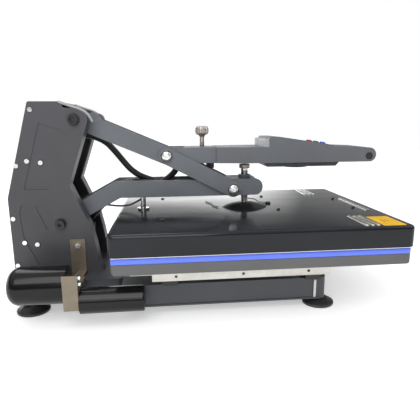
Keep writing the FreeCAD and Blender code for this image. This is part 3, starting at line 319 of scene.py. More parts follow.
@dataclass(frozen=True)
class Finish:
    """A surface finish: its colour, roughness and how metallic it is."""

    colour: Colour
    roughness: float
    metallic: float = 0.0

    def dress(self, tree: ShaderTree) -> None:
        """Add this finish's patterns to a material's tree."""
        raise NotImplementedError

    def make(self, name: str) -> bpy.types.Material:
        """Make the material.

        Args:
            name: the material's name.

        Returns:
            The finished material.
        """
        tree = ShaderTree(name)
        tree.fix(Metallic=self.metallic)
        tree.material.diffuse_color = (*self.colour, 1.0)
        self.dress(tree)
        return tree.material


@dataclass(frozen=True)
class PowderCoat(Finish):
    """Satin powder coat with a fine orange peel, cloudy tone and a little settled dust."""

    peel: float = 650.0
    depth: float = 0.00011
    cloud: float = 0.1

    def dress(self, tree: ShaderTree) -> None:
        """Fine peel in the bump and the roughness, broad clouds and dust in the colour."""
        fine = tree.noise(self.peel, 2.0)
        broad = tree.noise(11.0, 4.0)
        tone = tree.between(
            tree.span(broad, 0.0, 1.0), shade(self.colour, 1 - self.cloud), shade(self.colour, 1 + self.cloud)
        )
        dust = tree.span(tree.noise(2600.0, 1.0), 0.0, 0.35, 0.64, 0.72)
        tree.paint(
            tree.over(dust, tone, shade(self.colour, 2.2)),
            tree.span(fine, self.roughness - 0.07, self.roughness + 0.07),
        )
        tree.bump(fine, self.depth, 0.6)


@dataclass(frozen=True)
class GlossEnamel(Finish):
    """Sprayed gloss enamel: slow waves in the film, faint smears and specks of dust."""

    wave: float = 55.0
    shine: float = 0.28

    def dress(self, tree: ShaderTree) -> None:
        """Smears in the roughness, waves in the bump and specks in the colour."""
        tree.fix(Specular_IOR_Level=self.shine)
        smear = tree.noise(14.0, 5.0, (1.0, 0.35, 1.0))
        speck = tree.span(tree.noise(1500.0, 1.0), 0.0, 0.5, 0.68, 0.74)
        tone = tree.between(tree.span(smear, 0.0, 1.0), shade(self.colour, 0.8), shade(self.colour, 1.5))
        tree.paint(
            tree.over(speck, tone, (0.09, 0.09, 0.09)),
            tree.span(smear, self.roughness, self.roughness + 0.08, 0.35, 0.7),
        )
        tree.bump(tree.noise(self.wave, 2.0), 0.00006, 0.5)


@dataclass(frozen=True)
class PlatedSteel(Finish):
    """Zinc or chrome plate: streaks along Y, crystal cells and a tint that drifts."""

    tint: Colour = (0.7, 0.7, 0.66)
    streak: Point = (260.0, 6.0, 260.0)

    def dress(self, tree: ShaderTree) -> None:
        """Drifting tint and cells in the colour, streaks in the roughness and the bump."""
        streaks = tree.noise(1.0, 3.0, self.streak)
        drift = tree.span(tree.noise(28.0, 3.0), 0.0, 1.0, 0.35, 0.65)
        tone = tree.between(drift, self.colour, self.tint)
        cell = tree.span(tree.cells(160.0), 0.0, 0.25, 0.0, 1.0)
        tree.paint(
            tree.over(cell, tone, shade(self.colour, 0.7)),
            tree.span(streaks, self.roughness - 0.08, self.roughness + 0.12),
        )
        tree.bump(streaks, 0.00004, 0.5)


@dataclass(frozen=True)
class TurnedSteel(Finish):
    """Steel off the lathe or grinder, with fine rings along Z and handling marks."""

    rings: float = 900.0

    def dress(self, tree: ShaderTree) -> None:
        """Rings in the bump, marks in the colour and roughness."""
        marks = tree.noise(90.0, 4.0)
        tree.paint(
            tree.between(tree.span(marks, 0.0, 1.0), shade(self.colour, 0.75), shade(self.colour, 1.1)),
            tree.span(marks, self.roughness - 0.05, self.roughness + 0.12),
        )
        tree.bump(tree.waves(self.rings, "Z"), 0.00003, 0.4)


@dataclass(frozen=True)
class Moulded(Finish):
    """Moulded plastic or rubber with a spark-eroded grain and faint rub marks."""

    grain: float = 1100.0
    depth: float = 0.00007
    dust: float = 0.2

    def dress(self, tree: ShaderTree) -> None:
        """Grain in the bump, rubs in the roughness, and pale dust in the colour."""
        grain = tree.noise(self.grain, 2.0)
        rub = tree.noise(35.0, 4.0)
        tone = tree.between(tree.span(rub, 0.0, 1.0), shade(self.colour, 0.85), shade(self.colour, 1.2))
        pale = tuple(channel + 0.12 for channel in self.colour)
        tree.paint(
            tree.over(tree.span(rub, 0.0, self.dust, 0.5, 0.75), tone, pale),
            tree.span(rub, self.roughness + 0.08, self.roughness - 0.06),
        )
        tree.bump(grain, self.depth, 0.6)


@dataclass(frozen=True)
class SiliconePad(Finish):
    """Soft silicone foam sheet: skin with fine pores and a slight glow from inside."""

    glow: float = 0.12

    def dress(self, tree: ShaderTree) -> None:
        """Pores in the bump, a cloudy blue, and light scattered under the skin."""
        pores = tree.noise(1400.0, 2.0)
        cloud = tree.noise(18.0, 4.0)
        tree.fix(
            Subsurface_Weight=self.glow, Subsurface_Radius=(0.3, 0.5, 1.0), Subsurface_Scale=0.004,
            Sheen_Weight=0.15,
        )
        tree.paint(
            tree.between(tree.span(cloud, 0.0, 1.0), shade(self.colour, 0.92), shade(self.colour, 1.08)),
            tree.span(cloud, self.roughness - 0.06, self.roughness + 0.08),
        )
        tree.bump(pores, 0.00008, 0.5)


@dataclass(frozen=True)
class SmokedGlass(Finish):
    """Smoked display window with finger smears."""

    def dress(self, tree: ShaderTree) -> None:
        """Smears in the roughness over a dark clear pane."""
        smear = tree.noise(70.0, 4.0, (1.0, 0.3, 1.0))
        tree.fix(IOR=1.5, Coat_Weight=0.6, Coat_Roughness=0.04)
        tree.paint(
            tree.between(tree.span(smear, 0.0, 1.0), shade(self.colour, 0.8), shade(self.colour, 1.3)),
            tree.span(smear, self.roughness, self.roughness + 0.18, 0.4, 0.75),
        )


@dataclass(frozen=True)
class Felt(Finish):
    """Ceramic fibre felt."""

    def dress(self, tree: ShaderTree) -> None:
        """Tangled fibres in the bump and colour."""
        fibre = tree.noise(420.0, 5.0, (1.0, 0.4, 1.0))
        tree.fix(Sheen_Weight=0.4)
        tree.paint(
            tree.between(tree.span(fibre, 0.0, 1.0), shade(self.colour, 0.8), shade(self.colour, 1.1)),
            tree.span(fibre, self.roughness - 0.05, self.roughness),
        )
        tree.bump(fibre, 0.0006, 0.7)


@dataclass(frozen=True)
class SignFoil(Finish):
    """Printed foil with plain bars of a second colour across X, and no lettering.

    bars holds (centre, half width) pairs along Y in millimetres, edge the X limits of the bars.
    """

    ink: Colour = (0.5, 0.02, 0.02)
    bars: Tuple[Tuple[float, float], ...] = ()
    edge: Tuple[float, float] = (0.0, 0.0)

    def dress(self, tree: ShaderTree) -> None:
        """Bars printed over the foil, with a slight wrinkle."""
        wrinkle = tree.noise(60.0, 3.0)
        tone = tree.between(tree.span(wrinkle, 0.0, 1.0), shade(self.colour, 0.9), shade(self.colour, 1.1))
        across = tree.band(0, self.edge[0] * MM, self.edge[1] * MM, 0.0002)
        for centre, half in self.bars:
            along = tree.band(1, (centre - half) * MM, (centre + half) * MM, 0.0002)
            tone = tree.over(tree.times(across, along), tone, self.ink)
        tree.paint(tone, tree.span(wrinkle, self.roughness - 0.05, self.roughness + 0.1))
        tree.bump(wrinkle, 0.0002, 0.4)


@dataclass(frozen=True)
class StudioPaper(Finish):
    """Smooth pale paper for the floor, lifted a little so that it stays white to the horizon."""

    lift: float = 0.42

    def dress(self, tree: ShaderTree) -> None:
        """A very faint cloud in the tone and the roughness."""
        cloud = tree.noise(1.5, 2.0)
        tree.fix(Emission_Color=(1.0, 1.0, 1.0, 1.0), Emission_Strength=self.lift)
        tree.paint(
            tree.between(tree.span(cloud, 0.0, 1.0), shade(self.colour, 0.98), self.colour),
            tree.span(cloud, self.roughness, self.roughness + 0.05),
        )


FINISHES: Dict[Slot, Finish] = {
    Slot.RUBBER: Moulded((0.022, 0.022, 0.024), 0.42, grain=700.0, dust=0.12),
    Slot.ZINC: PlatedSteel((0.62, 0.61, 0.57), 0.38, 1.0, tint=(0.56, 0.55, 0.5)),
    Slot.SCREW_ZINC: PlatedSteel((0.86, 0.86, 0.86), 0.26, 1.0, tint=(0.8, 0.82, 0.84)),
    Slot.BASE_PAINT: PowderCoat((0.049, 0.054, 0.061), 0.42),
    Slot.FRAME_PAINT: PowderCoat((0.055, 0.055, 0.062), 0.46),
    Slot.ARM_PAINT: PowderCoat((0.125, 0.135, 0.152), 0.44),
    Slot.HANDLE_PAINT: PowderCoat((0.115, 0.122, 0.135), 0.44),
    Slot.PAN_PAINT: PowderCoat((0.1, 0.1, 0.102), 0.46),
    Slot.COVER_BLACK: GlossEnamel((0.008, 0.0095, 0.012), 0.13),
    Slot.GLOSS_BLACK: GlossEnamel((0.005, 0.005, 0.006), 0.12),
    Slot.BLACK_STEEL: PowderCoat((0.012, 0.012, 0.013), 0.34, peel=900.0),
    Slot.BLACK_PLASTIC: Moulded((0.02, 0.02, 0.022), 0.46),
    Slot.ROCKER_PLASTIC: Moulded((0.38, 0.015, 0.015), 0.26, grain=1600.0, dust=0.05),
    Slot.LIGHT_PLASTIC: Moulded((0.33, 0.34, 0.34), 0.42, dust=0.1),
    Slot.POLISHED_STEEL: TurnedSteel((0.72, 0.71, 0.7), 0.14, 1.0),
    Slot.KNOB_STEEL: TurnedSteel((0.5, 0.44, 0.41), 0.38, 1.0, rings=500.0),
    Slot.CLAMP_ZINC: PlatedSteel((0.27, 0.22, 0.155), 0.42, 0.6, tint=(0.2, 0.175, 0.14)),
    Slot.BARE_ALUMINIUM: PlatedSteel((0.78, 0.78, 0.8), 0.3, 1.0, tint=(0.74, 0.75, 0.78)),
    Slot.BRONZE: TurnedSteel((0.55, 0.36, 0.15), 0.35, 1.0),
    Slot.INSULATION: Felt((0.75, 0.72, 0.62), 0.95),
    Slot.PAD_SILICONE: SiliconePad((0.12, 0.2, 0.86), 0.42),
    Slot.SLEEVE_BLACK: Moulded((0.01, 0.01, 0.011), 0.32, grain=1800.0, dust=0.06),
    Slot.DISPLAY_GLASS: SmokedGlass((0.015, 0.025, 0.03), 0.05),
    Slot.RED_PLASTIC: Moulded((0.62, 0.02, 0.02), 0.24, grain=2000.0, dust=0.04),
    Slot.GREEN_PLASTIC: Moulded((0.02, 0.3, 0.04), 0.24, grain=2000.0, dust=0.04),
    Slot.BLUE_PLASTIC: Moulded((0.03, 0.1, 0.6), 0.24, grain=2000.0, dust=0.04),
}


@dataclass
class Shape:
    """Points in millimetres and faces of a closed surface."""

    points: np.ndarray
    faces: List[Tuple[int, ...]]

    def turned(self, matrix: Matrix) -> "Shape":
        """The shape turned by a 3x3 matrix about the origin."""
        return Shape(self.points @ np.array(matrix, float).T, self.faces)

    def moved(self, x: float, y: float, z: float) -> "Shape":
        """The shape moved by millimetres."""
        return Shape(self.points + np.array((x, y, z), float), self.faces)

    def joined(self, *others: "Shape") -> "Shape":
        """This shape and others as one set of shells."""
        points, faces = [self.points], list(self.faces)
        count = len(self.points)
        for other in others:
            faces += [tuple(corner + count for corner in face) for face in other.faces]
            points.append(other.points)
            count += len(other.points)
        return Shape(np.vstack(points), faces)


def closed_grid(points: np.ndarray) -> Shape:
    """Skin a stack of rings and close both ends.

    Each ring is a closed loop of the same number of points. Quads join a ring to the next, and
    one flat face closes the first and the last ring.

    Args:
        points: rings x points x 3, in millimetres.

    Returns:
        The closed shape.
    """
    rings, sides = points.shape[:2]
    index = np.arange(rings * sides).reshape(rings, sides)
    after = np.roll(index, -1, axis=1)
    quads = np.stack([index[:-1], after[:-1], after[1:], index[1:]], axis=-1).reshape(-1, 4)
    faces = [tuple(face) for face in quads.tolist()]
    faces += [tuple(index[0, ::-1].tolist()), tuple(index[-1].tolist())]
    return Shape(points.reshape(-1, 3), faces)


def lathe(profile: Sequence[Tuple[float, float]], turns: int = 48, relief: Optional[Relief] = None) -> Shape:
    """Turn a profile about Z.

    A point at angle a and profile row i is ((r + d) cos a, (r + d) sin a, z), where r and z are
    the row's radius and height and d is the relief at that angle and height.

    Args:
        profile: rows of radius and height, in millimetres.
        turns: points round the axis.
        relief: gives d from arrays of angle and height.

    Returns:
        The closed shape.
    """
    radius, height = np.array(profile, float).T
    angle = np.linspace(0, TAU, turns, endpoint=False)
    around, up = np.meshgrid(angle, height)
    reach = np.repeat(radius[:, None], turns, axis=1)
    if relief is not None:
        reach = reach + relief(around, up)
    return closed_grid(np.stack([reach * np.cos(around), reach * np.sin(around), up], axis=-1))


def rounded_outline(half_x: float, half_y: float, radius: float, steps: int) -> np.ndarray:
    """Corners of a rounded rectangle, anticlockwise.

    Each corner is a quarter circle of the radius about a centre that lies the radius inside both
    sides, with the same number of points for any size.

    Args:
        half_x: half the width, in millimetres.
        half_y: half the depth.
        radius: corner radius.
        steps: points on each corner.

    Returns:
        Points x 2.
    """
    radius = max(min(radius, half_x - 0.01, half_y - 0.01), 0.02)
    angle = np.linspace(0, math.pi / 2, steps)
    corners = []
    for turn, (sign_x, sign_y) in enumerate(((1, 1), (-1, 1), (-1, -1), (1, -1))):
        around = angle + turn * math.pi / 2
        corners.append(
            np.stack(
                [
                    sign_x * (half_x - radius) + radius * np.cos(around),
                    sign_y * (half_y - radius) + radius * np.sin(around),
                ],
                axis=-1,
            )
        )
    return np.vstack(corners)


def slab(
    half_x: float, half_y: float, radius: float, rows: Sequence[Tuple[float, float]], steps: int = CORNER_STEPS
) -> Shape:
    """A rounded rectangle drawn in by each row's inset at that row's height.

    Args:
        half_x: half the width, in millimetres.
        half_y: half the depth.
        radius: corner radius.
        rows: inset and height of each ring, from the bottom up.
        steps: points on each corner.

    Returns:
        The closed shape.
    """
    rings = []
    for inset, height in rows:
        outline = rounded_outline(half_x - inset, half_y - inset, radius - inset, steps)
        rings.append(np.column_stack([outline, np.full(len(outline), height)]))
    return closed_grid(np.stack(rings))


def spline_path(route: Sequence[Point], samples: int = 400) -> np.ndarray:
    """Points along the smooth curve that a route's points control.

    Args:
        route: control points in millimetres.
        samples: how many evenly spaced points come back.

    Returns:
        samples x 3 points in millimetres.
    """
    curve = bpy.data.curves.new("route", "CURVE")
    curve.dimensions = "3D"
    spline = curve.splines.new("NURBS")
    spline.points.add(len(route) - 1)
    spline.points.foreach_set("co", np.column_stack([np.array(route, float), np.ones(len(route))]).ravel())
    spline.order_u = 3
    spline.use_endpoint_u = True
    spline.resolution_u = 24
    holder = bpy.data.objects.new("route", curve)
    mesh = bpy.data.meshes.new_from_object(holder)
    line = np.zeros(len(mesh.vertices) * 3)
    mesh.vertices.foreach_get("co", line)
    line = line.reshape(-1, 3)
    bpy.data.meshes.remove(mesh)
    bpy.data.objects.remove(holder)
    bpy.data.curves.remove(curve)
    travel = np.concatenate([[0.0], np.cumsum(np.linalg.norm(np.diff(line, axis=0), axis=1))])
    even = np.linspace(0.0, travel[-1], samples)
    return np.column_stack([np.interp(even, travel, line[:, axis]) for axis in range(3)])


def tube(path: np.ndarray, radius: np.ndarray, sides: int = 20, across: Point = (1, 0, 0)) -> Shape:
    """Carry a circle along a path.

    At each point the circle lies square to the path: its first direction is the path's direction
    crossed with a fixed one, and its second is square to both.

    Args:
        path: points in millimetres.
        radius: the tube's radius at each point.
        sides: points round the circle.
        across: the fixed direction, never along the path.

    Returns:
        The closed shape.
    """
    ahead = np.gradient(path, axis=0)
    ahead /= np.linalg.norm(ahead, axis=1, keepdims=True)
    side = np.cross(ahead, np.array(across, float))
    side /= np.linalg.norm(side, axis=1, keepdims=True)
    up = np.cross(side, ahead)
    angle = np.linspace(0, TAU, sides, endpoint=False)
    circle = np.cos(angle)[None, :, None] * side[:, None] + np.sin(angle)[None, :, None] * up[:, None]
    return closed_grid(path[:, None] + radius[:, None, None] * circle)


def knurl(count: int, pitch: float, depth: float) -> Relief:
    """Diamond knurl: the product of two crossed helical waves, cut inwards.

    The depth at angle a and height z is depth times one minus |sin(n a / 2 + k z) sin(n a / 2 - k z)|,
    taken off the radius, where n is the count of teeth and k is pi over the pitch.

    Args:
        count: teeth round the grip.
        pitch: height of one diamond, in millimetres.
        depth: deepest cut, in millimetres.

    Returns:
        The relief.
    """

    def relief(around: np.ndarray, up: np.ndarray) -> np.ndarray:
        """Depth taken off at each angle and height."""
        wave = math.pi / pitch * up
        left, right = np.sin(count * around / 2 + wave), np.sin(count * around / 2 - wave)
        return -depth * (1 - np.abs(left * right))

    return relief


def flutes(count: int, depth: float) -> Relief:
    """Straight grip flutes.

    The cut at angle a is depth times the square root of the positive part of cos(count a), taken
    off the radius.

    Args:
        count: flutes round the grip.
        depth: deepest cut, in millimetres.

    Returns:
        The relief.
    """

    def relief(around: np.ndarray, up: np.ndarray) -> np.ndarray:
        """Depth taken off at each angle."""
        return -depth * np.clip(np.cos(count * around), 0, 1) ** 0.5 + 0 * up

    return relief


def thread(pitch: float, depth: float, low: float, high: float) -> Relief:
    """Screw thread between two heights.

    The radius falls by depth times a triangle wave of (z / pitch - a / full turn), so that the
    crest climbs one pitch a turn. The cut fades out over one pitch at each end.

    Args:
        pitch: climb for each turn, in millimetres.
        depth: deepest cut, in millimetres.
        low: height where the thread starts.
        high: height where it ends.

    Returns:
        The relief.
    """

    def relief(around: np.ndarray, up: np.ndarray) -> np.ndarray:
        """Depth taken off at each angle and height."""
        phase = (up / pitch - around / TAU) % 1.0
        fade = np.clip((up - low) / pitch, 0, 1) * np.clip((high - up) / pitch, 0, 1)
        return -depth * np.abs(2 * phase - 1) * fade

    return relief


class Workshop:
    """Makes the materials once, adds pieces to the scene and dresses the CAD nodes."""

    def __init__(self) -> None:
        """Make every slot's material."""
        self.materials: Dict[str, bpy.types.Material] = {}
        for slot, finish in FINISHES.items():
            self.materials[slot.value] = finish.make("finish_" + slot.value)

    def special(self, name: str, finish: Finish) -> bpy.types.Material:
        """Make a one-off material for a label."""
        self.materials[name] = finish.make("finish_" + name)
        return self.materials[name]

    def piece(
        self,
        name: str,
        shape: Shape,
        slot: Slot,
        body: Optional[Body],
        *,
        replaces: Sequence[str] = (),
        material: Optional[bpy.types.Material] = None,
        sharp: float = 35.0,
    ) -> bpy.types.Object:
        """Add one piece to the object.

        Args:
            name: the piece's name.
            shape: its surface, in millimetres in the machine's frame.
            slot: the record's slot that it takes its finish from.
            body: the body that it rides on, or None to leave it unattached.
            replaces: CAD nodes that it stands for.
            material: a one-off material in place of the slot's own.
            sharp: edges turning more than this many degrees stay sharp.

        Returns:
            The new object.
        """
        mesh = bpy.data.meshes.new(name)
        mesh.from_pydata((shape.points * MM).tolist(), [], shape.faces)
        work = bmesh.new()
        work.from_mesh(mesh)
        bmesh.ops.recalc_face_normals(work, faces=work.faces)
        work.to_mesh(mesh)
        work.free()
        mesh.shade_smooth()
        mesh.set_sharp_from_angle(angle=math.radians(sharp))
        mesh.materials.append(material or self.materials[slot.value])
        made = bpy.data.objects.new(name, mesh)
        bpy.context.scene.collection.objects.link(made)
        if body is not None:
            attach(made, body.value)
        if replaces:
            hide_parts(*replaces)
        log.info("piece %s: %d faces", name, len(mesh.polygons))
        return made

    def dress_nodes(self) -> None:
        """Give each CAD node its slot's finish and soften its edges."""
        for name, node in sorted(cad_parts.items()):
            for place in node.material_slots:
                place.material = self.materials[place.material.name.split(".")[0]]
            if name in MATT_BLACK:
                node.material_slots[0].material = self.materials[Slot.BLACK_STEEL.value]
            if name in SOFTENED:
                self.soften(node, SOFTENED[name])
            log.info("node %s: %s", name, node.material_slots[0].material.name)

    @staticmethod
    def soften(node: bpy.types.Object, width: float) -> None:
        """Round a sheet-metal node's edges by modifiers, which leave its mesh as it is.

        Args:
            node: the CAD node.
            width: the bevel's width in millimetres.
        """
        weld = node.modifiers.new("merge", "WELD")
        weld.merge_threshold = 0.00001
        flat = node.modifiers.new("flat_faces", "DECIMATE")
        flat.decimate_type = "DISSOLVE"
        flat.angle_limit = math.radians(0.5)
        edge = node.modifiers.new("edges", "BEVEL")
        edge.width = width * MM
        edge.segments = 2
        edge.limit_method = "ANGLE"
        edge.angle_limit = math.radians(50)
        edge.harden_normals = True


MATT_BLACK = ("pressure_dome",)

SOFTENED: Dict[str, float] = {
    "link_plates": 0.6,
    "arm_plate_left": 0.6,
    "arm_plate_right": 0.6,
    "lever_plate_left": 0.6,
    "lever_plate_right": 0.6,
    "slide_rails": 0.3,
    "drawer_runners": 0.3,
}


@dataclass
class Cover:
    """Things on the upper platen's cover: sign foil, louvres, strip, screws and wires."""

    top: float = 161.0
    bottom: float = 124.0
    half_x: float = 204.0
    half_y: float = 254.0
    corner: float = 12.0
    edge: float = 6.0
    sheet: float = 1.5
    sign_x: Tuple[float, float] = (-197.5, -129.5)
    sign_y: Tuple[float, float] = (-239.0, -199.0)
    louvre_y: float = -191.0
    louvre_pitch: float = 10.0
    louvre_count: int = 3
    louvre_x: Tuple[Tuple[float, float], ...] = ((-196.0, -120.0), (116.0, 192.0))
    strip_x: Tuple[float, float] = (-73.0, 62.0)
    strip_y: float = -232.0
    screws: Tuple[Tuple[float, float], ...] = (
        (-44.0, -61.0), (-46.0, -214.0), (107.0, 168.0), (-107.0, 168.0), (107.0, -61.0), (57.0, -214.0),
    )

    def plate(self, x: Tuple[float, float], y: Tuple[float, float], radius: float, rows: List) -> Shape:
        """A slab between X and Y limits on the cover."""
        half_x, half_y = (x[1] - x[0]) / 2, (y[1] - y[0]) / 2
        return slab(half_x, half_y, radius, rows).moved(sum(x) / 2, sum(y) / 2, self.top)

    def build(self, shop: Workshop) -> None:
        """Build and dress the cover and every piece on it."""
        self.shell(shop)
        foil = SignFoil(
            (0.74, 0.43, 0.004), 0.5, bars=((-222.0, 1.1), (-214.0, 1.8)),
            edge=(self.sign_x[0] + 26, self.sign_x[1] - 24), ink=(0.42, 0.06, 0.02),
        )
        shop.piece(
            "cover_sign", self.plate(self.sign_x, self.sign_y, 3, [(0, 0.02), (0, 0.2), (0.1, 0.28)]),
            Slot.LIGHT_PLASTIC, Body.UPPER, material=shop.special("cover_sign", foil),
        )
        ridge = [(0, -0.2), (0, 0.3), (0.3, 1.1), (0.9, 1.8), (1.8, 2.3), (2.6, 2.4)]
        for side, limits, slot in zip(("near", "far"), self.louvre_x, (Slot.ZINC, Slot.BARE_ALUMINIUM)):
            rows = [
                self.plate(limits, (y - 3.0, y + 3.0), 3.0, ridge)
                for y in self.louvre_y + self.louvre_pitch * np.arange(self.louvre_count)
            ]
            shop.piece(f"cover_louvres_{side}", rows[0].joined(*rows[1:]), slot, Body.UPPER)
        shop.piece(
            "cover_strip",
            self.plate(
                self.strip_x, (self.strip_y - 3.2, self.strip_y + 3.2), 2.0, [(0, 0), (0, 1.2), (0.4, 1.6)],
            ),
            Slot.SCREW_ZINC, Body.UPPER,
        )
        head = lathe(
            [(3.6, 0), (3.6, 0.8), (3.2, 1.6), (2.2, 2.1), (1.2, 2.3), (0.9, 1.5), (0.05, 1.4)], 24,
        )
        heads = [head.moved(x, y, self.top) for x, y in self.screws]
        shop.piece("cover_screws", heads[0].joined(*heads[1:]), Slot.BLACK_STEEL, Body.UPPER)
        self.wires(shop)

    def shell(self, shop: Workshop) -> None:
        """The pressed cover, open below: a quarter circle of the edge radius joins wall and top.

        The rows go up the outside, over the edge to the middle of the top, and back down the
        inside one sheet thickness away. The ring of the open bottom closes the skin.
        """
        turn = np.linspace(0, math.pi / 2, 9)
        outer = [(0.6, self.bottom), (0.0, self.bottom + 0.6)]
        outer += list(zip(self.edge * (1 - np.cos(turn)), self.top - self.edge * (1 - np.sin(turn))))
        inner = [(inset + self.sheet, height - self.sheet) for inset, height in outer[2:][::-1]]
        inner += [(self.sheet, self.bottom)]
        over = slab(self.half_x, self.half_y, self.corner, outer)
        under = slab(self.half_x, self.half_y, self.corner, inner)
        shape = over.joined(under)
        count, ring = len(over.points), 4 * CORNER_STEPS
        drop = {len(over.faces) - 2, len(over.faces) + len(under.faces) - 1}
        faces = [face for number, face in enumerate(shape.faces) if number not in drop]
        low, end = np.arange(ring), np.arange(ring) + count + len(under.points) - ring
        narrow_band = np.stack([np.roll(low, -1), low, end, np.roll(end, -1)], axis=-1)
        shape = Shape(shape.points, faces + [tuple(face) for face in narrow_band.tolist()])
        shop.piece("cover_shell", shape, Slot.COVER_BLACK, Body.UPPER, replaces=["platen_cover"], sharp=30)

    def wires(self, shop: Workshop) -> None:
        """Sensor wires beside the dome and the grommet they enter."""
        level = self.top + 1.4
        routes = (
            (
                (26, -52, level), (30, -44, level), (26, -36, level + 1), (32, -28, level + 9),
                (18, -6, level + 12),
            ),
            ((-8, 55, level), (8, 66, level), (24, 62, level), (42, 70, level), (60, 74, level)),
        )
        radius = np.full(120, 0.9)
        for number, route in enumerate(routes, start=1):
            shape = tube(spline_path(route, 120), radius, 12, across=(0, 0, 1))
            shop.piece(f"sensor_wire_{number}", shape, Slot.SLEEVE_BLACK, Body.UPPER)
        grommet = lathe(
            [(5.2, 0), (5.8, 0.7), (5.8, 2.0), (5.2, 3.0), (3.8, 3.5), (2.8, 3.0), (2.5, 2.0), (0.05, 1.9)], 32,
        )
        shop.piece("cover_grommet", grommet.moved(23, -56, self.top), Slot.RUBBER, Body.UPPER)


@dataclass
class Pad:
    """The silicone pad on the lower platen."""

    half_x: float = 200.0
    half_y: float = 250.0
    bottom: float = 111.5
    top: float = 121.5
    corner: float = 5.0

    def build(self, shop: Workshop) -> None:
        rows = [(1.0, self.bottom), (0.3, self.bottom + 0.8), (0.0, self.bottom + 2.5), (0.0, self.top - 2.5)]
        rows += [(0.2, self.top - 1.4), (0.8, self.top - 0.5), (1.8, self.top - 0.1), (3.2, self.top)]
        made = shop.piece(
            "silicone_pad", slab(self.half_x, self.half_y, self.corner, rows),
            Slot.PAD_SILICONE, Body.DRAWER, replaces=["platen_pad"],
        )


@dataclass
class PressureScrew:
    """Threaded pressure screw with its knurled collar."""

    radius: float = 7.5
    collar: float = 10.9
    bottom: float = 164.0
    shoulder: float = 240.2
    top: float = 248.2
    pitch: float = 1.75

    def build(self, shop: Workshop) -> None:
        """Build the shank and the collar as two turned pieces."""
        rows = [(self.radius - 1.5, self.bottom), (self.radius, self.bottom + 1.5)]
        steps = np.arange(self.bottom + 3, self.shoulder - 2, self.pitch / 5)
        rows += [(self.radius, height) for height in steps]
        rows += [(self.radius, self.shoulder - 0.5)]
        cut = thread(self.pitch, 0.9, self.bottom + 6, self.shoulder - 4)
        shop.piece(
            "pressure_screw_thread", lathe(rows, 40, cut), Slot.POLISHED_STEEL, Body.SCREW,
            replaces=["pressure_screw"], sharp=60,
        )
        height = np.linspace(self.shoulder + 1.2, self.top - 1.2, 22)
        head = [(self.radius - 1, self.shoulder - 1), (self.collar - 1.2, self.shoulder)]
        head += [(self.collar, z) for z in height] + [(self.collar - 1.2, self.top), (4, self.top)]
        grip = knurl(44, 1.6, 0.5)
        low, high = self.shoulder + 1, self.top - 1
        shop.piece(
            "pressure_screw_collar",
            lathe(head, 132, lambda a, z: grip(a, z) * ((z > low) & (z < high))),
            Slot.KNOB_STEEL, Body.SCREW, sharp=80,
        )


@dataclass
class StopKnob:
    """Stop knob: a plain stem, a flared neck and a fluted grip with a rounded top."""

    y: float = 86.0
    stem: float = 4.5
    grip: float = 13.4
    flutes: int = 10
    bottom: float = 251.7
    neck: float = 303.0
    top: float = 324.2

    def build(self, shop: Workshop) -> None:
        """Build the knob as one turned piece."""
        rows = [(self.stem - 0.8, self.bottom), (self.stem, self.bottom + 0.8), (self.stem, self.neck)]
        rows += [(self.stem + 0.6, self.neck + 0.4), (self.stem + 2.4, self.neck + 3.6)]
        low, high = self.neck + 5.0, self.top - 1.0
        share = np.linspace(0, 1, 26)
        swell = self.grip - 2.6 * np.abs(2 * share - 1) ** 2.6
        rows += list(zip(swell.tolist(), (low + (high - low) * share).tolist()))
        rows += [(self.grip - 4.0, self.top - 0.3), (self.grip - 6.0, self.top), (3.4, self.top - 0.3)]
        rows += [(2.8, self.top - 1.4), (0.05, self.top - 1.4)]
        cut = flutes(self.flutes, 1.5)
        shape = lathe(rows, 160, lambda a, z: cut(a, z) * ((z >= low) & (z <= high)))
        shop.piece(
            "stop_knob_turned", shape.moved(0, self.y, 0), Slot.KNOB_STEEL, Body.KNOB,
            replaces=["stop_knob"], sharp=50,
        )


@dataclass
class PinCaps:
    """Washers and domed caps on the ends of the linkage's two pins, on both sides."""

    face: float = 43.6
    pins: Tuple[Tuple[str, Body], ...] = (("toggle_pin", Body.LINKS), ("front_pin", Body.ARM))

    def build(self, shop: Workshop) -> None:
        """Build one pair of caps for each pin, at the middle of its CAD box."""
        ring = [(10.9, -0.4), (10.9, 0.5), (10.3, 0.9), (9.2, 0.9), (8.8, 0.3), (8.8, -0.4)]
        dome = [(8.4, -0.3), (8.4, 0.9), (7.6, 1.7), (6.0, 2.2), (4.2, 2.35), (4.0, 1.2), (0.05, 1.1)]
        for node, body in self.pins:
            low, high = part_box(node)
            middle = (low + high) / (2 * MM)
            for kind, rows, slot in (("washers", ring, Slot.BLACK_STEEL), ("caps", dome, Slot.SCREW_ZINC)):
                made = []
                for side in (-1, 1):
                    turn = Matrix.Rotation(side * math.pi / 2, 3, "Y")
                    made.append(lathe(rows, 36).turned(turn).moved(side * self.face, middle.y, middle.z))
                shop.piece(f"{node}_{kind}", made[0].joined(made[1]), slot, body)


@dataclass
class PaleEdgeHighlight:
    """Pale tubes along the sloping top edge of each side plate: a painted highlight for the light that the
    plates' top edges catch.
    """

    half: float = 68.5
    radius: float = 2.3
    route: Tuple[Tuple[float, float], ...] = (
        (340, 367.4), (332, 364.5), (318, 359.5), (306, 356), (296, 350.5), (288.5, 343), (284.5, 333),
    )

    def build(self, shop: Workshop) -> None:
        """Build both painted highlight tubes as one piece."""
        sides = []
        for x in (-self.half, self.half):
            path = spline_path([(x, y, z) for y, z in self.route], 60)
            sides.append(tube(path, np.full(60, self.radius), 14))
        # pale plastic tubes paint the highlight on the side plates' top edges
        shop.piece("top_edge_painted_highlight", sides[0].joined(sides[1]), Slot.LIGHT_PLASTIC, Body.FRAME)


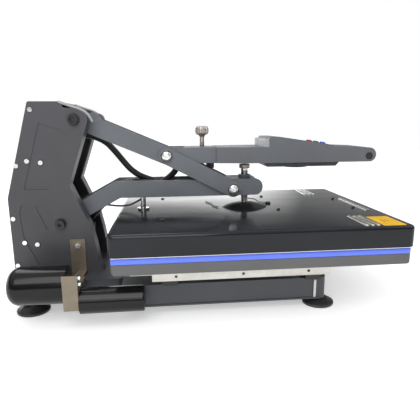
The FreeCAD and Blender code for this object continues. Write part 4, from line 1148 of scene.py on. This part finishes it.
@dataclass
class ControlBox:
    """Push buttons with domed caps in raised bezels on the control box's sloping top."""

    slope_from: Tuple[float, float] = (-39.0, 303.2)
    slope_to: Tuple[float, float] = (-166.0, 284.2)
    x: float = -14.0
    radius: float = 5.5
    buttons: Tuple[Tuple[str, Slot, Body], ...] = (
        ("red_button", Slot.RED_PLASTIC, Body.RED),
        ("green_button", Slot.GREEN_PLASTIC, Body.GREEN),
        ("blue_button", Slot.BLUE_PLASTIC, Body.BLUE),
    )

    def tilt(self, node: str) -> Tuple[Matrix, Vector]:
        """Turn and place of one button, from its CAD node's box.

        Args:
            node: the button's CAD node.

        Returns:
            The 3x3 turn, and the cap's top centre in millimetres.
        """
        run = self.slope_from[0] - self.slope_to[0]
        rise = math.atan2(self.slope_from[1] - self.slope_to[1], run)
        turn = Matrix.Rotation(rise, 3, "X")
        low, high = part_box(node)
        middle = (low + high) / (2 * MM)
        return turn, middle + turn @ Vector((0, 0, 2.75))

    def build(self, shop: Workshop) -> None:
        """Build each cap and its bezel."""
        r = self.radius
        cap = [(r - 0.3, -5.4), (r, -5.0), (r, -1.1), (r - 0.15, -0.6), (r - 0.6, -0.2), (r - 1.4, -0.02)]
        cap += [(r - 2.2, -0.15), (1.6, -0.35), (0.05, -0.4)]
        bezel = [(r + 0.35, -3.4), (r + 1.9, -3.4), (r + 1.9, -2.7), (r + 1.5, -2.2), (r + 0.7, -2.0)]
        bezel += [(r + 0.35, -2.3), (r + 0.35, -3.3)]
        rings = []
        for node, slot, body in self.buttons:
            turn, top = self.tilt(node)
            shop.piece(
                node + "_cap", lathe(cap, 40).turned(turn).moved(*top), slot, body, replaces=[node],
            )
            rings.append(self.ring(bezel).turned(turn).moved(*top))
        shop.piece("button_bezels", rings[0].joined(*rings[1:]), Slot.BLACK_PLASTIC, Body.LEVER)

    @staticmethod
    def ring(profile: Sequence[Tuple[float, float]], turns: int = 40) -> Shape:
        """A closed ring: the profile's last row meets its first, so the flat ends are dropped.

        Args:
            profile: rows of radius and height, in millimetres.
            turns: points round the axis.

        Returns:
            The ring's shape.
        """
        shape = lathe(profile, turns)
        rows = len(profile)
        index = np.arange(rows * turns).reshape(rows, turns)
        after = np.roll(index, -1, axis=1)
        narrow_band = np.stack([index[-1], after[-1], after[0], index[0]], axis=-1)
        return Shape(shape.points, shape.faces[:-2] + [tuple(face) for face in narrow_band.tolist()])


@dataclass
class Cables:
    """Corrugated sleeves, the cables on the arm, and the thin platen lead. The cables on the arm are partly
    real and partly painted shade: black strands fill the gap between the arm plates, where shade falls.
    """

    sleeve: float = 6.6
    rib: float = 2.9
    sides: int = 22
    rear: Tuple[Point, ...] = (
        (0, 326, 312.9), (0, 306, 309.4), (0, 288, 303.7), (0, 271, 294.5), (0, 256, 277.2),
        (0, 241, 257.5), (0, 228, 241.5), (0, 212, 229.5), (0, 197, 223), (0, 184, 218.6),
    )
    front: Tuple[Point, ...] = ((0, 172, 212), (0, 160, 219), (0, 149, 227), (0, 138, 239), (0, 129, 256))
    lead: Tuple[Point, ...] = (
        (0, 290, 173), (0, 274, 171), (0, 254, 168), (0, 234, 169), (0, 218, 176), (0, 206, 184), (0, 198, 192),
    )
    under: Tuple[Point, ...] = ((-6, 316, 138), (-6, 304, 150), (-6, 290, 166), (-6, 276, 178), (-6, 262, 190))
    cable_and_shade_bundle: Tuple[Point, ...] = (
        (0, 152, 216), (0, 175, 218), (0, 205, 219.5), (0, 236, 219), (0, 262, 210), (0, 290, 192),
        (0, 312, 176),
    )
    cable_and_shade_bundle_x: Tuple[float, ...] = (-19.0, -12.0, -5.0, 4.0, 12.0, 19.0)

    def ribbed(self, route: Sequence[Point]) -> Shape:
        """Sleeve along a route: its radius falls and rises as a cosine of the distance travelled.

        Args:
            route: control points in millimetres.

        Returns:
            The sleeve's shape.
        """
        path = spline_path(route, 40)
        length = np.linalg.norm(np.diff(path, axis=0), axis=1).sum()
        path = spline_path(route, int(length / self.rib * 8))
        travel = np.linspace(0, length, len(path))
        radius = self.sleeve - 0.5 + 0.5 * np.cos(TAU * travel / self.rib)
        return tube(path, radius, self.sides)

    def plain(self, route: Sequence[Point], radius: float, samples: int = 90) -> Shape:
        """Smooth cable along a route."""
        return tube(spline_path(route, samples), np.full(samples, radius), 14)

    def build(self, shop: Workshop) -> None:
        """Build the sleeves, the front one in two pieces that share the ring at their joint, and the cables."""
        made = shop.piece(
            "sleeve_to_arm", self.ribbed(self.rear), Slot.SLEEVE_BLACK, None,
            replaces=["cable_sleeve_rear"], sharp=80,
        )
        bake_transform(made)
        lower = self.ribbed(self.front)
        half = len(lower.points) // self.sides // 2 * self.sides
        first = closed_grid(lower.points[:half].reshape(-1, self.sides, 3))
        second = closed_grid(lower.points[half - self.sides:].reshape(-1, self.sides, 3))
        made = shop.piece("sleeve_front_lower", first, Slot.SLEEVE_BLACK, None, sharp=80)
        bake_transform(made)
        made = shop.piece(
            "sleeve_front_upper", second, Slot.SLEEVE_BLACK, None,
            replaces=["cable_sleeve_front"], sharp=80,
        )
        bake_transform(made)
        shop.piece("platen_lead", self.plain(self.lead, 1.9), Slot.PAN_PAINT, Body.ARM)
        shop.piece("arm_under_cable", self.plain(self.under, 4.2), Slot.SLEEVE_BLACK, Body.ARM)
        # black strands between the arm plates: a real cable runs there, and they also paint the shaded gap dark
        strands = [self.plain(self.cable_and_shade_bundle, 3.1).moved(x, 0, 0) for x in self.cable_and_shade_bundle_x]
        shop.piece("arm_cables_and_painted_shade", strands[0].joined(*strands[1:]), Slot.SLEEVE_BLACK, Body.ARM)

    @staticmethod
    def metres(point: Sequence[float]) -> Point:
        """A point in metres."""
        return tuple(float(value) * MM for value in point)


@dataclass
class BaseBendHighlights:
    """Bright zinc strips on the outer walls of the base channels, near their front ends: a painted highlight
    where the walls bend towards the front.
    """

    face: float = 151.5
    y: float = -102.0
    low: float = 20.0
    high: float = 54.0
    half: float = 2.4

    def build(self, shop: Workshop) -> None:
        """Build one raised bright strip on each side."""
        rows = [(0, 0.02), (0.1, 0.5), (0.7, 1.0), (1.5, 1.2)]
        sides = []
        for sign in (-1, 1):
            narrow_band = slab((self.high - self.low) / 2, self.half, self.half, rows)
            turn = Matrix.Rotation(sign * math.pi / 2, 3, "Y")
            sides.append(narrow_band.turned(turn).moved(sign * self.face, self.y, (self.low + self.high) / 2))
        # bright zinc strips paint the highlight on the base walls' front bends
        shop.piece("base_bend_highlights", sides[0].joined(sides[1]), Slot.ZINC, Body.FRAME)


@dataclass
class SideSigns:
    """Small foil labels on the left side plate, above the canister."""

    face: float = -70.0
    sign: Tuple[float, float, float, float] = (365.5, 387.0, 63.5, 71.5)
    tag: Tuple[float, float, float, float] = (346.0, 361.5, 63.0, 68.5)

    def build(self, shop: Workshop) -> None:
        """Build the yellow sign and the white tag."""
        edge = (self.face - 1.0, self.face + 1.0)
        yellow = SignFoil((0.75, 0.48, 0.02), 0.4, bars=((371.0, 1.2),), edge=edge, ink=(0.1, 0.05, 0.02))
        white = SignFoil((0.75, 0.75, 0.72), 0.42, bars=((350.0, 0.8),), edge=edge, ink=(0.3, 0.3, 0.3))
        labels = (("side_sign", self.sign, yellow), ("side_tag", self.tag, white))
        for name, (front, back, low, high), foil in labels:
            flat = slab((high - low) / 2, (back - front) / 2, 1.0, [(0, 0.02), (0, 0.2), (0.08, 0.26)])
            turn = Matrix.Rotation(-math.pi / 2, 3, "Y")
            shape = flat.turned(turn).moved(self.face, (front + back) / 2, (low + high) / 2)
            shop.piece(name, shape, Slot.LIGHT_PLASTIC, Body.FRAME, material=shop.special(name, foil))


@dataclass
class Studio:
    """Camera, pale floor, sky and lamps."""

    eye: Point = (-0.8274, 0.1582, 0.3277)
    yaw: float = -6.03
    down: float = 11.75
    roll: float = -0.39
    lens: float = 35.4
    aim: Point = (0, 0.1, 0.15)
    card_from: Tuple[float, float] = (-0.32, -0.16)
    side_from: Tuple[float, float] = (-0.3, 0.3)
    lamps: Tuple[Tuple[Point, float, float], ...] = (
        ((-1.4, 0.5, 1.5), 1.2, 15.0), ((-1.7, 0.35, 0.75), 0.7, 3.5),
        ((-0.4, -1.6, 1.3), 1.0, 6.0), ((0.9, 0.7, 1.8), 1.2, 14.0),
    )

    def camera(self) -> None:
        """Add the camera, looking across the machine from its left side."""
        yaw, down, roll = (math.radians(angle) for angle in (self.yaw, self.down, self.roll))
        ahead = Vector((math.cos(down) * math.cos(yaw), math.cos(down) * math.sin(yaw), -math.sin(down)))
        level = ahead.cross(Vector((0, 0, 1))).normalized()
        upright = level.cross(ahead)
        right = math.cos(roll) * level + math.sin(roll) * upright
        up = -math.sin(roll) * level + math.cos(roll) * upright
        data = bpy.data.cameras.new("camera")
        data.lens = self.lens
        data.sensor_width = 36.0
        data.clip_start = 0.01
        made = bpy.data.objects.new("camera", data)
        made.matrix_world = Matrix.Translation(self.eye) @ Matrix((right, up, -ahead)).transposed().to_4x4()
        bpy.context.scene.collection.objects.link(made)
        bpy.context.scene.camera = made

    def floor(self) -> None:
        """Add the pale floor: a wide disc whose height falls a hair at its rim."""
        angle = np.linspace(0, TAU, 96, endpoint=False)
        reach = np.array([0.01, 1.0, 4.0, 12.0, 30.0])
        rings = np.stack(
            [np.stack([r * np.cos(angle), r * np.sin(angle), 0 * angle - 0.0002], axis=-1) for r in reach[::-1]]
        )
        top = closed_grid(np.concatenate([rings[:1] - (0, 0, 0.05), rings]))
        mesh = bpy.data.meshes.new("floor")
        mesh.from_pydata(top.points.tolist(), [], top.faces)
        made = bpy.data.objects.new("floor", mesh)
        mesh.materials.append(StudioPaper((0.86, 0.86, 0.86), 0.75).make("floor_paper"))
        bpy.context.scene.collection.objects.link(made)

    def sky(self) -> None:
        """Light the scene from all round, with a dark band low down for the gloss paint to mirror.

        The strength seen in reflections depends only on the direction: bright near the level on the
        far side, dark above that, and bright again overhead. The camera sees a plain pale backdrop.
        """
        world = bpy.data.worlds.new("studio")
        world.use_nodes = True
        bpy.context.scene.world = world
        nodes, links = world.node_tree.nodes, world.node_tree.links
        back = nodes["Background"]
        place = nodes.new("ShaderNodeTexCoord")
        split = nodes.new("ShaderNodeSeparateXYZ")
        links.new(place.outputs["Generated"], split.inputs[0])
        dim, card, near = (
            self.ramp(nodes, links, split.outputs["Z"], stops) for stops in (FAR_SKY, FAR_CARD, NEAR_SKY)
        )
        reach = self.share(nodes, links, split.outputs["Y"], self.card_from)
        far = self.mix(nodes, links, reach, dim, card, "ADD")
        both = self.mix(nodes, links, self.share(nodes, links, split.outputs["X"], self.side_from), near, far)
        seen = nodes.new("ShaderNodeLightPath")
        plain = self.mix(nodes, links, seen.outputs["Is Camera Ray"], both, None)
        plain.node.inputs[7].default_value = (1.0, 1.0, 1.0, 1.0)
        links.new(plain, back.inputs["Color"])
        back.inputs["Strength"].default_value = 1.0

    @staticmethod
    def share(
        nodes: bpy.types.Nodes, links: bpy.types.NodeLinks, value: bpy.types.NodeSocket,
        ends: Tuple[float, float],
    ) -> bpy.types.NodeSocket:
        """Zero below the first end, one above the second and straight between.

        Args:
            nodes: the tree's nodes.
            links: the tree's links.
            value: the value to map.
            ends: where the rise starts and ends.

        Returns:
            The mapped value.
        """
        node = nodes.new("ShaderNodeMapRange")
        node.inputs["From Min"].default_value, node.inputs["From Max"].default_value = ends
        links.new(value, node.inputs["Value"])
        return node.outputs["Result"]

    @staticmethod
    def mix(
        nodes: bpy.types.Nodes, links: bpy.types.NodeLinks, share: bpy.types.NodeSocket,
        under: bpy.types.NodeSocket, top: Optional[bpy.types.NodeSocket], blend: str = "MIX",
    ) -> bpy.types.NodeSocket:
        """Blend two colours by a share.

        Args:
            nodes: the tree's nodes.
            links: the tree's links.
            share: how much of the top colour shows.
            under: the colour at a share of zero.
            top: the colour at a share of one, or None where the caller sets a plain one.
            blend: the way the two are blended.

        Returns:
            The blended colour.
        """
        node = nodes.new("ShaderNodeMix")
        node.data_type = "RGBA"
        node.blend_type = blend
        links.new(share, node.inputs[0])
        links.new(under, node.inputs[6])
        if top is not None:
            links.new(top, node.inputs[7])
        return node.outputs[2]

    @staticmethod
    def ramp(
        nodes: bpy.types.Nodes, links: bpy.types.NodeLinks, value: bpy.types.NodeSocket,
        stops: Sequence[Tuple[float, float]],
    ) -> bpy.types.NodeSocket:
        """Grey level by height of the direction.

        Args:
            nodes: the tree's nodes.
            links: the tree's links.
            value: the direction's height, from -1 to 1.
            stops: rows of height and grey.

        Returns:
            The grey as a colour.
        """
        node = nodes.new("ShaderNodeValToRGB")
        ramp = node.color_ramp
        while len(ramp.elements) < len(stops):
            ramp.elements.new(0.5)
        for element, (height, grey) in zip(ramp.elements, stops):
            element.position = (height + 1) / 2
            element.color = (grey, grey, grey, 1.0)
        half = nodes.new("ShaderNodeMapRange")
        half.inputs["From Min"].default_value = -1.0
        links.new(value, half.inputs["Value"])
        links.new(half.outputs["Result"], node.inputs["Fac"])
        return node.outputs["Color"]

    def light(self) -> None:
        """Add the soft lamps, each aimed at the middle of the machine."""
        for number, (place, size, power) in enumerate(self.lamps, start=1):
            data = bpy.data.lights.new(f"softbox_{number}", "AREA")
            data.size = size
            data.energy = power
            made = bpy.data.objects.new(f"softbox_{number}", data)
            made.location = place
            made.rotation_euler = (Vector(self.aim) - Vector(place)).to_track_quat("-Z", "Y").to_euler()
            made.visible_camera = False
            bpy.context.scene.collection.objects.link(made)

    def build(self) -> None:
        """Set up the whole studio."""
        self.camera()
        self.floor()
        self.sky()
        self.light()
        bpy.context.scene.view_settings.view_transform = "Standard"


FAR_SKY = ((-1.0, 0.6), (0.1, 0.42), (0.2, 0.3), (0.24, 0.06), (0.45, 0.25), (0.8, 0.95))
FAR_CARD = ((-1.0, 0.0), (-0.05, 0.0), (0.0, 2.3), (0.19, 2.3), (0.222, 0.0), (1.0, 0.0))
NEAR_SKY = ((-1.0, 0.45), (0.0, 0.1), (0.3, 0.16), (0.6, 0.7), (1.0, 0.95))


def main() -> None:
    """Build the studio and every sub-assembly in order."""
    Studio().build()
    shop = Workshop()
    shop.dress_nodes()
    parts = (
        Pad(), Cover(), PressureScrew(), StopKnob(), PinCaps(), PaleEdgeHighlight(), ControlBox(), Cables(),
        BaseBendHighlights(), SideSigns(),
    )
    for part in parts:
        log.info("building %s", type(part).__name__)
        part.build(shop)


if __name__ == "__main__":
    main()
